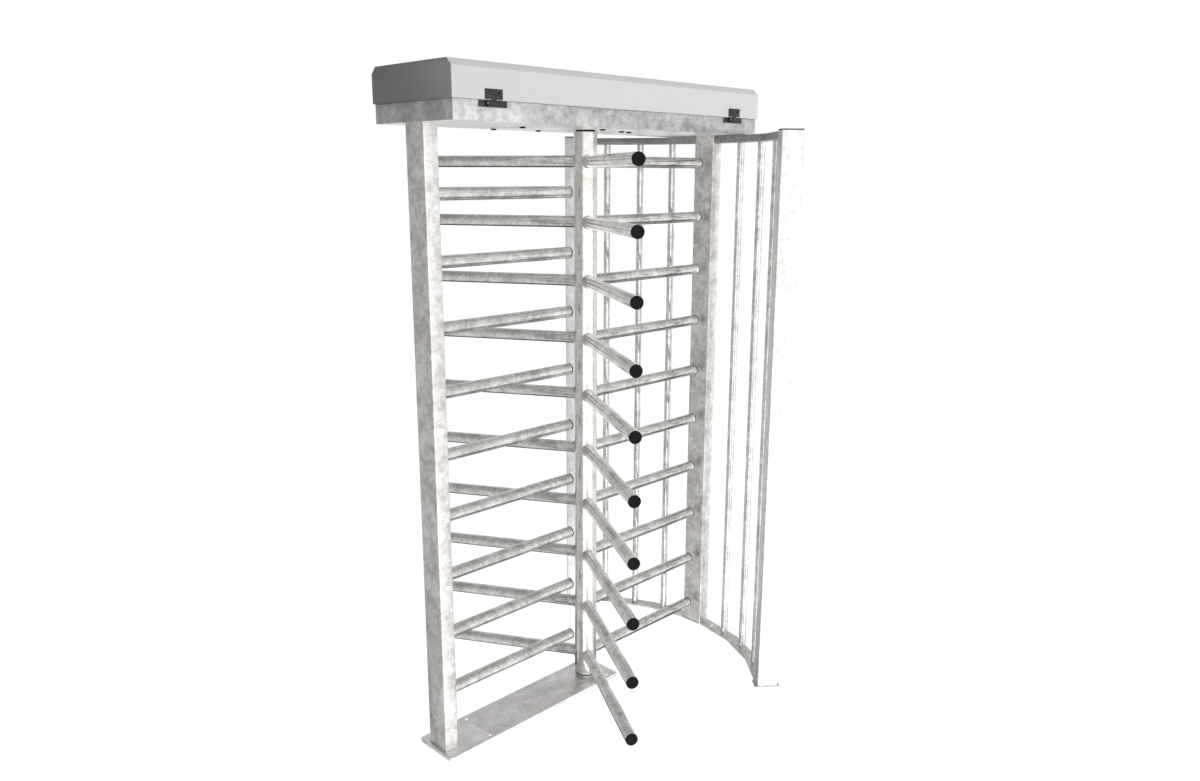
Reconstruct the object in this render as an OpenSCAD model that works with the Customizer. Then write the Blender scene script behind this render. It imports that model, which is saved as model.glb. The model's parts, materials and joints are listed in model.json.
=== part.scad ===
// Full-height three-wing turnstile with a visitor counter in its head.
// Origin: the rotor's axis at floor level. +X runs from the rotor to the
// cage, +Y to the back, +Z up. Millimetres.

/* [Rotor] */
// Number of arms on each wing
arm_rows = 10; // [6:1:12]
// Height from one arm to the next
arm_pitch = 200; // [150:5:250]
// Height of the lowest arm's axis above the floor
first_arm_z = 102; // [70:1:200]
// Outer diameter of the arm tubes
arm_d = 40; // [25:1:50]
// Wall of the arm tubes
arm_wall = 2; // [1.5:0.5:4]
// Radius from the axis to the wing tips
wing_r = 602; // [480:1:760]
// Outer diameter of the column
column_d = 80; // [66:1:100]
// Wall of the column tube
column_wall = 3; // [2:0.5:5]

/* [Posts and comb] */
// Width of a post along the head
post_w = 50; // [40:1:80]
// Depth of a post across the head
post_d = 90; // [70:1:120]
// Wall of the posts
post_wall = 3; // [2:0.5:5]
// Gap from the wing tips to the comb post
comb_post_gap = 29; // [15:1:60]
// Gap from the wing tips to the cage's middle post
cage_post_gap = 28; // [15:1:60]
// Gap from the column to the ends of the comb bars
comb_gap = 38; // [25:1:80]
// Height from the top arm's axis to the underside of the head
head_above_arm = 101; // [80:1:200]

/* [Cage] */
// Angle that each straight stretch of the cage covers
segment_angle = 15; // [12:0.5:18]
// Half the angle of the flat behind the middle post
middle_angle = 4; // [3.5:0.5:6]
// How far the cage's inner face stands behind the middle post's
cage_setback = 2.5; // [1:0.5:8]
// Width of the rail and of the floor plate
rail_w = 50; // [40:1:80]
// Height of the top rail
rail_h = 25; // [20:1:50]
// Wall of the top rail
rail_wall = 2; // [1.5:0.5:4]
// Diameter of the upright cage bars
bar_d = 26.9; // [18:0.1:34]
// Angle of the first cage bar from the middle post
first_bar_angle = 14.6; // [11:0.1:17]
// Angle from one cage bar to the next
bar_step = 11.75; // [9:0.25:13]
// Radial width of an end post
end_post_w = 75; // [55:1:100]
// Thickness of an end post along the cage
end_post_t = 50; // [40:1:80]

/* [Floor plates] */
// Width of the base plate under the comb
base_w = 172; // [140:1:240]
// Thickness of the base plate
base_t = 10; // [6:1:16]
// Thickness of the cage's floor plate
cage_plate_t = 6; // [4:1:12]
// Diameter of the anchor holes
anchor_d = 14; // [10:1:20]
// How far an end post's foot stands proud of it
foot_lip = 8; // [4:1:20]

/* [Head] */
// Depth of the trough from front to back
trough_d = 380; // [360:1:460]
// Height of the trough's walls
trough_h = 75; // [70:1:120]
// Thickness of the trough sheet
trough_t = 3; // [2:0.5:4]
// Height of the lid
lid_h = 104.5; // [98:0.5:160]
// Thickness of the lid sheet
lid_t = 2; // [1.5:0.5:3]
// Chamfer along the lid's long edges
lid_chamfer = 20; // [10:1:30]
// How far the lid stands outside the trough
lid_over = 5; // [4:0.5:10]
// How far the lid hangs down over the trough
lid_lap = 18; // [8:1:30]

/* [Hinges and locks] */
// Distance of a hinge from the lid's middle
hinge_offset = 549; // [300:1:600]
// Width of the hinge leaf on the lid
leaf_w = 62; // [50:1:90]
// Height of the hinge leaf on the lid
leaf_h = 28; // [20:1:40]
// Width of the hinge plate on the trough
hinge_plate_w = 100; // [90:1:130]
// Diameter of a hinge knuckle
knuckle_d = 17; // [14:1:22]
// Diameter of a hinge pin
hinge_pin_d = 8; // [6:1:10]
// Distance of a lock from the lid's middle
lock_offset = 400; // [250:1:500]

/* [Mechanism] */
// Diameter of the drive shaft
shaft_d = 40; // [32:1:42]
// Diameter of the shaft where the discs sit
hub_shaft_d = 32; // [24:1:36]
// Largest radius of the indexing cam
cam_r = 85; // [75:1:95]
// Depth of the cam's three hollows
cam_dip = 13; // [8:1:16]
// Radius of the lock disc
lock_disc_r = 70; // [60:1:76]
// Module of the counter gears
gear_module = 2; // [1.5:0.5:2.5]
// Teeth on the main gear
gear_teeth = 60; // [54:6:66]
// Teeth on each pinion
pinion_teeth = 20; // [16:4:24]
// Radial clearance of a shaft in its bore
run_clear = 0.05; // [0.02:0.01:0.1]
// Clearance between pieces that pass each other
gap = 0.3; // [0.2:0.1:1]

/* [Hidden] */
$fn = 64;

// Colours
zinc = [0.80, 0.80, 0.81];
steel = [0.62, 0.63, 0.65];
black = [0.08, 0.08, 0.08];
lid_grey = [0.78, 0.79, 0.79];

// Heights
top_arm_z = first_arm_z + (arm_rows - 1) * arm_pitch;
head_z = top_arm_z + head_above_arm;
floor_top = head_z + trough_t;
column_z0 = base_t + 12;
column_z1 = head_z - 5;
rail_top = head_z - 2;
rail_z = rail_top - rail_h;

// Places along the head
comb_face = wing_r + comb_post_gap;
cage_face = wing_r + cage_post_gap;
comb_tip = column_d / 2 + comb_gap;
cap_t = 3;
cap_plug = 15;
fit_clear = 0.2;

// The cage's straight stretches
cage_flat = cage_face + cage_setback;
half_seg = segment_angle / 2;
bar_r = cage_flat + rail_w / 2 + 3.5;
end_angle = middle_angle + 2.5 * segment_angle;
end_t = cage_flat * tan(half_seg) - 3;

// Base plate
base_x0 = -(comb_face + post_w + 11.5);
base_x1 = column_d / 2 + 47;
anchor_x0 = base_x0 + 179;
anchor_x1 = base_x1 - 39;
anchor_y = base_w / 2 - 20;

// Head
trough_x0 = -(comb_face + post_w + 3);
trough_x1 = cage_face + post_w + 9;
trough_y = trough_d / 2;
trough_top = head_z + trough_h;
lid_x0 = trough_x0 - lid_over;
lid_x1 = trough_x1 + lid_over;
lid_y = trough_y + lid_over;
lid_z0 = trough_top - lid_lap;
lid_z1 = lid_z0 + lid_h;
lid_mid = (lid_x0 + lid_x1) / 2;

// Hinges
hinge_plate_t = 4;
leaf_t = 4;
pin_y = -(trough_y + hinge_plate_t + knuckle_d / 2 + 0.5);
pin_z = lid_z0 - 9;
side_knuckle = 18;

// Locks
lock_z = trough_top + 22;
plug_d = 12;
lock_d = 19;
cam_arm = 32;
cam_arm_t = 3;
lock_in = 30;

// Mechanism heights
plate_z = floor_top + 34;
plate_t = 6;
plate_top = plate_z + plate_t;
cam_z = plate_top + 4;
cam_t = 10;
disc_z = cam_z + cam_t + 2;
disc_t = 10;
gear_z = disc_z + disc_t + 8;
gear_t = 8;
bridge_z = gear_z + gear_t + 8;
bridge_t = 4;
bridge_top = bridge_z + bridge_t;

// Counter gears
backlash = 0.35;
gear_r = gear_module * gear_teeth / 2;
pinion_r = gear_module * pinion_teeth / 2;
pinion_x = gear_r + pinion_r;
pinion_shaft_d = 8;

// Follower
roller_d = 24;
roller_pin_d = 8;
follower_x = -(cam_r + roller_d / 2 + gap);
follower_pivot_y = -85;
follower_tail_y = 42;
follower_w = 16;
follower_t = 8;
follower_z = disc_z;
stud_d = 10;
spring_y = 30;
spring_bracket_x = follower_x - follower_w / 2 - 52;

// Pawls and solenoids
pawl_x = lock_disc_r + 2;
pawl_y = lock_disc_r + 26;
tail_len = 35;
plunger_x = pawl_x + tail_len;
plunger_d = 12;
link_pin_d = 4;
fork_back = 16;
solenoid_y0 = pawl_y + 29;
solenoid_l = 50;
solenoid_w = 40;
solenoid_h = 42;
plunger_z = disc_z + disc_t / 2;
well_d = 20;
well_l = 14;

// Bolts and plates that hold the head on the posts
head_bolt_d = 10;
head_bolt_y = post_d / 2 - 17;
post_plate_t = 8;

// Rubber-lined cable holes in the trough's floor
grommet_places = [
    [-271, 150], [-291, -18], [-95, 130], [-15, -95], [137, -36], [187, -22]];
grommet_d = 14;

// Foot bearing
pivot_d = 25;
bearing_od = 52;
bearing_w = 15;
hub_h = 40;

// Head bearing and its housing
housing_bore = 80;
housing_d = 100;
housing_h = 28;
flange_t = 10;
housing_bolt_d = 8;

// Lock disc
notch_count = 12;
notch_angle = 75;
notch_w = 22;

// Control gear
control_x = 330;
control_l = 200;
control_w = 160;
control_h = 46;
control_wall = 3;
supply_x = -530;
supply_size = [150, 100, 42];

// Small shared sizes
housing_bolt_r = 58;
pillar_x = 150;
pillar_y = 92;
spacer_x = 170;
spacer_y = 160;
rest_offset = 570;
rest_w = 40;
buffer_t = 12;

module tube(d, wall, h) {
    difference() {
        cylinder(d = d, h = h);
        translate([0, 0, -1]) cylinder(d = d - 2 * wall, h = h + 2);
    }
}

module along_x() {
    rotate([0, 90, 0]) children();
}

module along_y() {
    rotate([-90, 0, 0]) children();
}

// The same piece on both sides of the XZ plane
module both_sides() {
    children();
    mirror([0, 1, 0]) children();
}

module box_tube(w, d, wall, h) {
    difference() {
        cube([w, d, h]);
        translate([wall, wall, -1]) cube([w - 2 * wall, d - 2 * wall, h + 2]);
    }
}

module rounded_plate(x0, x1, y0, y1, t, r) {
    linear_extrude(t) {
        translate([x0 + r, y0]) square([x1 - x0 - 2 * r, y1 - y0]);
        translate([x0, y0 + r]) square([x1 - x0, y1 - y0 - 2 * r]);
        for (x = [x0 + r, x1 - r], y = [y0 + r, y1 - r])
            translate([x, y]) circle(r);
    }
}

module hex_bolt(d, head_h, shank) {
    translate([0, 0, -shank]) cylinder(d = d, h = shank + 1);
    cylinder(d = 1.75 * d, h = head_h, $fn = 6);
}

// A plastic cap: a flange over the tube's end and a plug inside it.
// It points along +Z, with the tube's end at z = 0.
module tube_cap() {
    rotate_extrude() polygon([
        [0, -cap_plug], [arm_d / 2 - arm_wall - fit_clear, -cap_plug],
        [arm_d / 2 - arm_wall - fit_clear, 0], [arm_d / 2, 0],
        [arm_d / 2, cap_t - 1], [arm_d / 2 - 1, cap_t], [0, cap_t]]);
}

// ---------- floor plates and posts ----------

module base_plate() {
    color(zinc) difference() {
        rounded_plate(base_x0, base_x1, -base_w / 2, base_w / 2, base_t, 10);
        for (x = [anchor_x0, anchor_x1], y = [-anchor_y, anchor_y])
            translate([x, y, -1]) cylinder(d = anchor_d, h = base_t + 2);
    }
}

module comb_post() {
    color(zinc) translate([-comb_face - post_w, -post_d / 2, base_t])
        box_tube(post_w, post_d, post_wall, head_z - base_t);
}

module middle_post() {
    color(zinc) translate([cage_face, -post_d / 2, cage_plate_t])
        box_tube(post_w, post_d, post_wall, head_z - cage_plate_t);
}

module comb_row(i) {
    translate([0, 0, first_arm_z + (i + 0.5) * arm_pitch]) children();
}

module comb_bars() {
    length = comb_face - comb_tip - cap_t;
    color(zinc) for (i = [0 : arm_rows - 2])
        comb_row(i) translate([-comb_face, 0, 0])
            along_x() tube(arm_d, arm_wall, length);
}

module comb_caps() {
    color(black) for (i = [0 : arm_rows - 2])
        comb_row(i) translate([-comb_tip - cap_t, 0, 0])
            along_x() tube_cap();
}

// Plates welded inside the post heads, which take the head's bolts
module post_top_plates() {
    inner_w = post_w - 2 * post_wall;
    inner_d = post_d - 2 * post_wall;
    color(steel) for (x = [-comb_face - post_w / 2, cage_face + post_w / 2])
        translate([x, 0, head_z - post_plate_t]) difference() {
            translate([-inner_w / 2, -inner_d / 2, 0])
                cube([inner_w, inner_d, post_plate_t]);
            for (y = [-1, 1]) translate([0, y * head_bolt_y, -1])
                cylinder(d = head_bolt_d + fit_clear, h = post_plate_t + 2);
        }
}

// ---------- cage ----------

// A point of the cage's outline: flat is the distance of a straight
// stretch from the axis, mid its angle and t the place along it
function on_segment(flat, mid, t) =
    [flat * cos(mid) - t * sin(mid), flat * sin(mid) + t * cos(mid)];

function vertex(r, k) =
    let (a = middle_angle + k * segment_angle) [r * cos(a), r * sin(a)];

// One side of the cage from the middle flat to the end post, past which
// it runs by extra
function side_path(flat, extra = 0) =
    let (r = flat / cos(half_seg)) concat(
        [[r * cos(middle_angle), post_d / 2 - 5 - extra]],
        [for (k = [0 : 2]) vertex(r, k)],
        [on_segment(flat, end_angle, end_t + extra)]);

function reverse(path) = [for (i = [len(path) - 1 : -1 : 0]) path[i]];

function flip_y(path) = [for (p = path) [p[0], -p[1]]];

module side_outline(inner, outer, extra = 0) {
    polygon(concat(side_path(inner, extra),
        reverse(side_path(outer, extra))));
}

module cage_anchor_places() {
    both_sides() {
        rotate(8.2) translate([cage_flat + rail_w / 2 + 3, 0]) children();
        rotate(end_angle) translate([cage_flat + rail_w / 2, 40]) children();
    }
}

module cage_plate() {
    inner = side_path(cage_flat);
    outer = side_path(cage_flat + rail_w);
    color(zinc) difference() {
        union() {
            linear_extrude(cage_plate_t) polygon(concat(
                reverse(flip_y(inner)), inner, reverse(outer), flip_y(outer)));
            both_sides() rotate(end_angle)
                translate([cage_flat - foot_lip, end_t - 3, 0])
                cube([end_post_w + 2 * foot_lip, end_post_t + 5, cage_plate_t]);
        }
        cage_anchor_places() translate([0, 0, -1])
            cylinder(d = anchor_d, h = cage_plate_t + 2);
    }
}

// Box-section rails, one on each side of the middle post
module cage_rails() {
    color(zinc) both_sides() translate([0, 0, rail_z]) difference() {
        linear_extrude(rail_h) difference() {
            side_outline(cage_flat, cage_flat + rail_w);
            square([cage_face + post_w + rail_w, post_d / 2]);
        }
        translate([0, 0, rail_wall]) linear_extrude(rail_h - 2 * rail_wall)
            side_outline(cage_flat + rail_wall,
                cage_flat + rail_w - rail_wall, 5);
    }
}

module cage_bars() {
    color(zinc) both_sides() for (k = [0 : 2])
        rotate(first_bar_angle + k * bar_step)
            translate([bar_r, 0, cage_plate_t])
            tube(bar_d, 2, rail_z - cage_plate_t);
}

module at_end_post() {
    both_sides() rotate(end_angle)
        translate([cage_flat, end_t, 0]) children();
}

module end_posts() {
    color(zinc) at_end_post() translate([0, 0, cage_plate_t])
        box_tube(end_post_w, end_post_t, post_wall, head_z - cage_plate_t);
}

module end_post_caps() {
    plug = post_wall + fit_clear;
    color(black) at_end_post() {
        translate([0, 0, head_z]) cube([end_post_w, end_post_t, 4]);
        translate([plug, plug, head_z - 12])
            cube([end_post_w - 2 * plug, end_post_t - 2 * plug, 13]);
    }
}

// ---------- head trough and lid ----------

module head_trough() {
    length = trough_x1 - trough_x0;
    color(zinc) difference() {
        union() {
            difference() {
                translate([trough_x0, -trough_y, head_z])
                    cube([length, trough_d, trough_h]);
                translate([trough_x0 + trough_t, -trough_y + trough_t, floor_top])
                    cube([length - 2 * trough_t, trough_d - 2 * trough_t,
                        trough_h]);
            }
            for (s = [-1, 1]) lock_strike(lid_mid + s * lock_offset);
        }
        translate([0, 0, head_z - 1]) cylinder(d = shaft_d + 8, h = trough_t + 2);
        for (p = grommet_places) translate([p[0], p[1], head_z - 1])
            cylinder(d = grommet_d, h = trough_t + 2);
        head_bolt_places() translate([0, 0, -1])
            cylinder(d = head_bolt_d + 2 * fit_clear, h = trough_t + 2);
        housing_bolt_places() translate([0, 0, head_z - 1])
            cylinder(d = housing_bolt_d + 2 * fit_clear, h = trough_t + 2);
    }
}

// A folded tab on the back wall, which a lock's cam turns under
module lock_strike(x) {
    lip_z = lock_z + 9;
    strike_w = 24;
    x0 = x - 15 - strike_w;
    translate([x0, trough_y - trough_t, trough_top - 10])
        cube([strike_w, trough_t, lip_z + trough_t - trough_top + 10]);
    translate([x0, trough_y - lock_in - 8, lip_z])
        cube([strike_w, lock_in + 8 - 1, trough_t]);
}

module head_bolt_places() {
    for (x = [-comb_face - post_w / 2, cage_face + post_w / 2], s = [-1, 1])
        translate([x, s * head_bolt_y, head_z]) children();
}

module head_bolts() {
    color(steel) head_bolt_places() translate([0, 0, trough_t])
        hex_bolt(head_bolt_d, 7, trough_t + post_plate_t);
}

module cable_grommets() {
    color(black) for (p = grommet_places) translate([p[0], p[1], 0]) {
        translate([0, 0, head_z - 1.5]) cylinder(d = grommet_d + 5, h = 1.5);
        translate([0, 0, head_z - 1])
            cylinder(d = grommet_d - fit_clear, h = trough_t + 1);
        translate([0, 0, floor_top]) cylinder(d = grommet_d + 4, h = 1.5);
    }
}

// The lid's outline across the head, grown inwards by inset
module lid_outline(inset) {
    y = lid_y - inset;
    top = lid_z1 - inset;
    c = lid_chamfer - inset * (2 - sqrt(2));
    polygon([[-y, lid_z0 - inset], [y, lid_z0 - inset], [y, top - c],
        [y - c, top], [-y + c, top], [-y, top - c]]);
}

module head_lid() {
    color(lid_grey) difference() {
        lid_prism(lid_x0, lid_x1, 0);
        lid_prism(lid_x0 + lid_t, lid_x1 - lid_t, lid_t);
        for (s = [-1, 1])
            translate([lid_mid + s * lock_offset, lid_y - lid_t - 1, lock_z])
            along_y() cylinder(d = lock_d + fit_clear, h = lid_t + 2);
    }
    color(steel) for (s = [-1, 1]) lock_housing(lid_mid + s * lock_offset);
}

module lid_prism(x0, x1, inset) {
    translate([x0, 0, 0]) rotate([90, 0, 90])
        linear_extrude(x1 - x0) lid_outline(inset);
}

// Fixed housing of a cam lock, seated in the lid's back wall
module lock_housing(x) {
    inner_y = lid_y - lock_in;
    translate([x, 0, lock_z]) difference() {
        union() {
            translate([0, inner_y, 0]) along_y()
                cylinder(d = lock_d, h = lock_in);
            translate([0, lid_y, 0]) along_y() cylinder(d = 26, h = 2.5);
            translate([0, lid_y - lid_t - 4, 0]) along_y()
                cylinder(d = 26, h = 4);
        }
        translate([0, inner_y - 1, 0]) along_y()
            cylinder(d = plug_d + 2 * run_clear, h = lock_in + 10);
    }
}

// Turning plug and cam of a lock: hanging down it is open
module lock_plug(x) {
    inner_y = lid_y - lock_in;
    color(steel) translate([x, 0, lock_z]) {
        difference() {
            translate([0, inner_y - gap - cam_arm_t, 0]) along_y()
                cylinder(d = plug_d, h = lock_in + cam_arm_t + gap + 2.5);
            translate([-1, lid_y + 1, -4]) cube([2, 3, 8]);
        }
        translate([-7, inner_y - gap - cam_arm_t, -cam_arm + 7])
            cube([14, cam_arm_t, cam_arm]);
    }
}

module lock_left() {
    lock_plug(lid_mid - lock_offset);
}

module lock_right() {
    lock_plug(lid_mid + lock_offset);
}

module lid_rests() {
    height = lid_z1 - lid_t - buffer_t - floor_top;
    color(zinc) for (s = [-1, 1])
        translate([lid_mid + s * rest_offset - rest_w / 2, 0, floor_top]) {
            translate([0, -30, 0]) cube([rest_w, 60, 3]);
            translate([0, -30, 0]) cube([rest_w, 3, height]);
            translate([0, -30, height - 3]) cube([rest_w, 44, 3]);
        }
}

module lid_buffers() {
    color(black) for (s = [-1, 1])
        translate([lid_mid + s * rest_offset, 0,
            lid_z1 - lid_t - buffer_t])
        cylinder(d = 22, h = buffer_t - gap);
}

// ---------- lid hinges ----------

module at_hinges() {
    for (s = [-1, 1]) translate([lid_mid + s * hinge_offset, 0, 0]) children();
}

module knuckle(x0, length) {
    translate([x0, pin_y, pin_z]) along_x()
        cylinder(d = knuckle_d, h = length);
}

module pin_bore(d) {
    translate([-hinge_plate_w, pin_y, pin_z]) along_x()
        cylinder(d = d, h = 2 * hinge_plate_w);
}

// Plates on the trough with the two outer knuckles
module hinge_plates() {
    color(black) at_hinges() difference() {
        union() {
            translate([-hinge_plate_w / 2, -trough_y - hinge_plate_t,
                pin_z - 10]) cube([hinge_plate_w, hinge_plate_t, 18]);
            for (x = [-leaf_w / 2 + 4, leaf_w / 2 - 4 - side_knuckle]) {
                knuckle(x, side_knuckle);
                translate([x, pin_y, pin_z - 8])
                    cube([side_knuckle, -trough_y - pin_y - 1, 8]);
            }
        }
        pin_bore(hinge_pin_d + 2 * run_clear);
    }
}

module hinge_pins() {
    color(steel) at_hinges()
        translate([-leaf_w / 2 + 3, pin_y, pin_z]) along_x()
        cylinder(d = hinge_pin_d, h = leaf_w - 6);
}

// Leaves on the lid with the middle knuckle
module hinge_leaves() {
    mid = leaf_w - 8 - 2 * side_knuckle - 2 * gap;
    color(black) at_hinges() difference() {
        union() {
            translate([-leaf_w / 2, -lid_y - leaf_t, lid_z0 + 2])
                cube([leaf_w, leaf_t, leaf_h]);
            translate([-mid / 2, -lid_y - leaf_t, pin_z])
                cube([mid, leaf_t, 12]);
            knuckle(-mid / 2, mid);
        }
        pin_bore(hinge_pin_d + 2 * run_clear);
    }
}

module hinge_leaf_screws() {
    color(steel) at_hinges() for (s = [-1, 1])
        translate([s * 19.5, -lid_y - leaf_t, lid_z0 + 2 + leaf_h - 10])
        rotate([90, 0, 0]) difference() {
            cylinder(d = 8, h = 2);
            translate([0, 0, 0.8]) cylinder(d = 4, h = 2, $fn = 6);
        }
}

// ---------- foot bearing and column ----------

// Pivot welded to the base plate
module foot_pivot() {
    color(steel) translate([0, 0, base_t]) {
        cylinder(d = column_d - 4, h = 8);
        cylinder(d = pivot_d, h = 50);
    }
}

// Dark rings that close the column's foot and head
module column_seals() {
    color(black) {
        translate([0, 0, base_t + 8]) difference() {
            cylinder(d = column_d - 1, h = column_z0 - base_t - 8 - gap);
            translate([0, 0, -1]) cylinder(d = pivot_d + 20, h = 10);
        }
        translate([0, 0, column_z1 + gap]) difference() {
            cylinder(d = shaft_d + 24, h = head_z - column_z1 - gap);
            translate([0, 0, -1]) cylinder(d = shaft_d + 2 * gap, h = 10);
        }
    }
}

module foot_hub() {
    inner = column_d - 2 * column_wall;
    color(steel) translate([0, 0, column_z0]) difference() {
        cylinder(d = inner, h = hub_h);
        translate([0, 0, -1]) cylinder(d = bearing_od, h = bearing_w + 3);
        cylinder(d = pivot_d + 6, h = hub_h + 1);
    }
}

module foot_bearing() {
    color(steel) translate([0, 0, column_z0 + 2])
        tube(bearing_od, (bearing_od - pivot_d) / 2 - run_clear, bearing_w);
}

module rotor_column() {
    color(zinc) translate([0, 0, column_z0])
        tube(column_d, column_wall, column_z1 - column_z0);
}

module wing_arms(angle) {
    tube_end = wing_r - cap_t;
    color(zinc) rotate(angle) for (i = [0 : arm_rows - 1])
        translate([0, 0, first_arm_z + i * arm_pitch]) difference() {
            translate([column_d / 2 - 8, 0, 0]) along_x()
                tube(arm_d, arm_wall, tube_end - column_d / 2 + 8);
            translate([0, 0, -arm_d]) cylinder(d = column_d, h = 2 * arm_d);
        }
}

module wing_cage_arms() {
    wing_arms(0);
}

module wing_back_arms() {
    wing_arms(120);
}

module wing_front_arms() {
    wing_arms(240);
}

module arm_caps() {
    color(black) for (w = [0 : 2], i = [0 : arm_rows - 1])
        rotate(120 * w)
            translate([wing_r - cap_t, 0, first_arm_z + i * arm_pitch])
            along_x() tube_cap();
}

// ---------- drive shaft and its discs ----------

module drive_shaft() {
    inner = column_d - 2 * column_wall;
    color(steel) {
        translate([0, 0, column_z1 - 40]) cylinder(d = inner, h = 38);
        translate([0, 0, column_z1 - 10])
            cylinder(d = shaft_d, h = cam_z - 2 - column_z1 + 10);
        translate([0, 0, cam_z - 4])
            cylinder(d = hub_shaft_d, h = gear_z + gear_t + 4 - cam_z + 4);
        translate([0, 0, gear_z + gear_t])
            cylinder(d = 24, h = 20);
    }
}

module shaft_nut() {
    color(steel) translate([0, 0, gear_z + gear_t + 4]) difference() {
        cylinder(d = 41, h = 12, $fn = 6);
        translate([0, 0, -1]) cylinder(d = 24, h = 14);
    }
}

module hub_bore() {
    translate([0, 0, -50]) cylinder(d = hub_shaft_d, h = 200);
}

// Three smooth hollows hold the rotor at its rest positions
module index_cam() {
    points = [for (a = [0 : 2 : 358])
        let (dip = pow(0.5 + 0.5 * cos(3 * (a - 180)), 2),
            r = cam_r - cam_dip * dip) [r * cos(a), r * sin(a)]];
    color(steel) translate([0, 0, cam_z]) difference() {
        union() {
            linear_extrude(cam_t) polygon(points);
            translate([0, 0, -2]) cylinder(d = 60, h = cam_t + 4);
        }
        hub_bore();
    }
}

// Notches all round, so that a pawl can stop the rotor at any twelfth turn
module lock_disc() {
    color(steel) translate([0, 0, disc_z]) difference() {
        union() {
            cylinder(r = lock_disc_r, h = disc_t);
            cylinder(d = 50, h = gear_z - disc_z);
        }
        for (k = [0 : notch_count - 1])
            rotate(notch_angle + 360 / notch_count * k)
            translate([lock_disc_r - 13, -notch_w / 2, -1])
            cube([30, notch_w, disc_t + 2]);
        hub_bore();
    }
}

module toothed_wheel(teeth, t) {
    pitch_r = gear_module * teeth / 2;
    tip_r = pitch_r + 0.95 * gear_module;
    root_r = pitch_r - 1.25 * gear_module;
    half = 90 / teeth - backlash / pitch_r * 180 / PI / 2;
    tip = half - (tip_r - pitch_r) * tan(20) / tip_r * 180 / PI;
    root = half + (pitch_r - root_r) * tan(20) / root_r * 180 / PI;
    corners = [[root_r, -root], [tip_r, -tip], [tip_r, tip], [root_r, root]];
    linear_extrude(t) polygon([for (k = [0 : teeth - 1], c = corners)
        let (a = 360 / teeth * k + c[1]) [c[0] * cos(a), c[0] * sin(a)]]);
}

module main_gear() {
    color(steel) translate([0, 0, gear_z]) difference() {
        union() {
            toothed_wheel(gear_teeth, gear_t);
            cylinder(d = 46, h = gear_t + 4);
        }
        hub_bore();
    }
}

module pinion(x) {
    color(steel) translate([x, 0, gear_z - 1]) {
        rotate(180 / pinion_teeth) toothed_wheel(pinion_teeth, gear_t + 2);
        cylinder(d = pinion_shaft_d, h = bridge_top + 20 - gear_z);
    }
}

module counter_pinion() {
    pinion(pinion_x);
}

module damper_pinion() {
    pinion(-pinion_x);
}

// ---------- bearing housing, plates and pillars ----------

module housing_bolt_places() {
    for (a = [45 : 90 : 315])
        rotate(a) translate([housing_bolt_r, 0]) children();
}

module bearing_housing() {
    color(steel) translate([0, 0, floor_top]) difference() {
        union() {
            cylinder(d = 2 * housing_bolt_r + 3 * housing_bolt_d, h = flange_t);
            cylinder(d = housing_d, h = housing_h);
        }
        translate([0, 0, 6]) cylinder(d = housing_bore, h = 40);
        translate([0, 0, -1]) cylinder(d = shaft_d + 12, h = 20);
        housing_bolt_places() translate([0, 0, -1])
            cylinder(d = housing_bolt_d + 2 * fit_clear, h = flange_t + 2);
    }
}

module head_bearing() {
    color(steel) translate([0, 0, floor_top + 6])
        tube(housing_bore, (housing_bore - shaft_d) / 2 - run_clear, 18);
}

module housing_bolts() {
    color(steel) housing_bolt_places() translate([0, 0, floor_top + flange_t])
        hex_bolt(housing_bolt_d, 5.5, flange_t + trough_t);
}

// The plate that carries the gear, with the follower spring's bracket
module mechanism_plate() {
    color(zinc) {
        translate([0, 0, plate_z]) difference() {
            rounded_plate(-190, 190, -178, 178, plate_t, 8, $fn = 32);
            translate([0, 0, -1]) cylinder(d = shaft_d + 24, h = plate_t + 2);
            pillar_places() translate([0, 0, -1]) cylinder(d = 6, h = plate_t + 2);
        }
        translate([spring_bracket_x - 4, spring_y - 15, plate_top])
            cube([4, 30, follower_z + follower_t + 6 - plate_top]);
    }
}

module mechanism_spacers() {
    color(steel) for (x = [-spacer_x, spacer_x], y = [-spacer_y, spacer_y])
        translate([x, y, 0]) {
            translate([0, 0, floor_top])
                cylinder(d = 18, h = plate_z - floor_top);
            translate([0, 0, plate_top]) cylinder(d = 13, h = 5, $fn = 6);
        }
}

module pillar_places() {
    for (x = [-pillar_x, pillar_x], y = [-pillar_y, pillar_y])
        translate([x, y, 0]) children();
}

module bridge_pillars() {
    color(steel) pillar_places() {
        translate([0, 0, plate_top])
            cylinder(d = 16, h = bridge_z - plate_top);
        translate([0, 0, bridge_top]) cylinder(d = 13, h = 6, $fn = 6);
        translate([0, 0, bridge_z - 1]) cylinder(d = 7.6, h = bridge_t + 2);
    }
}

module bridge_plate() {
    color(zinc) translate([0, 0, bridge_z]) difference() {
        rounded_plate(-pillar_x - 14, pillar_x + 14, -pillar_y - 14,
            pillar_y + 14, bridge_t, 8);
        translate([0, 0, -1]) cylinder(d = 60, h = bridge_t + 2);
        for (s = [-1, 1]) translate([s * pinion_x, 0, -1])
            cylinder(d = 2 * pinion_shaft_d, h = bridge_t + 2);
        pillar_places() translate([0, 0, -1])
            cylinder(d = 8, h = bridge_t + 2);
    }
}

// Body of the counter that the pinion drives
module visitor_counter() {
    color(black) translate([pinion_x, 0, bridge_top]) difference() {
        union() {
            translate([-24, -30, 0]) cube([48, 60, 30]);
            translate([-18, -24, 30]) cube([36, 48, 4]);
        }
        translate([0, 0, -1])
            cylinder(d = pinion_shaft_d + 2 * run_clear, h = 24);
        translate([-10, -20, 32]) cube([14, 40, 5]);
    }
}

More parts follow.
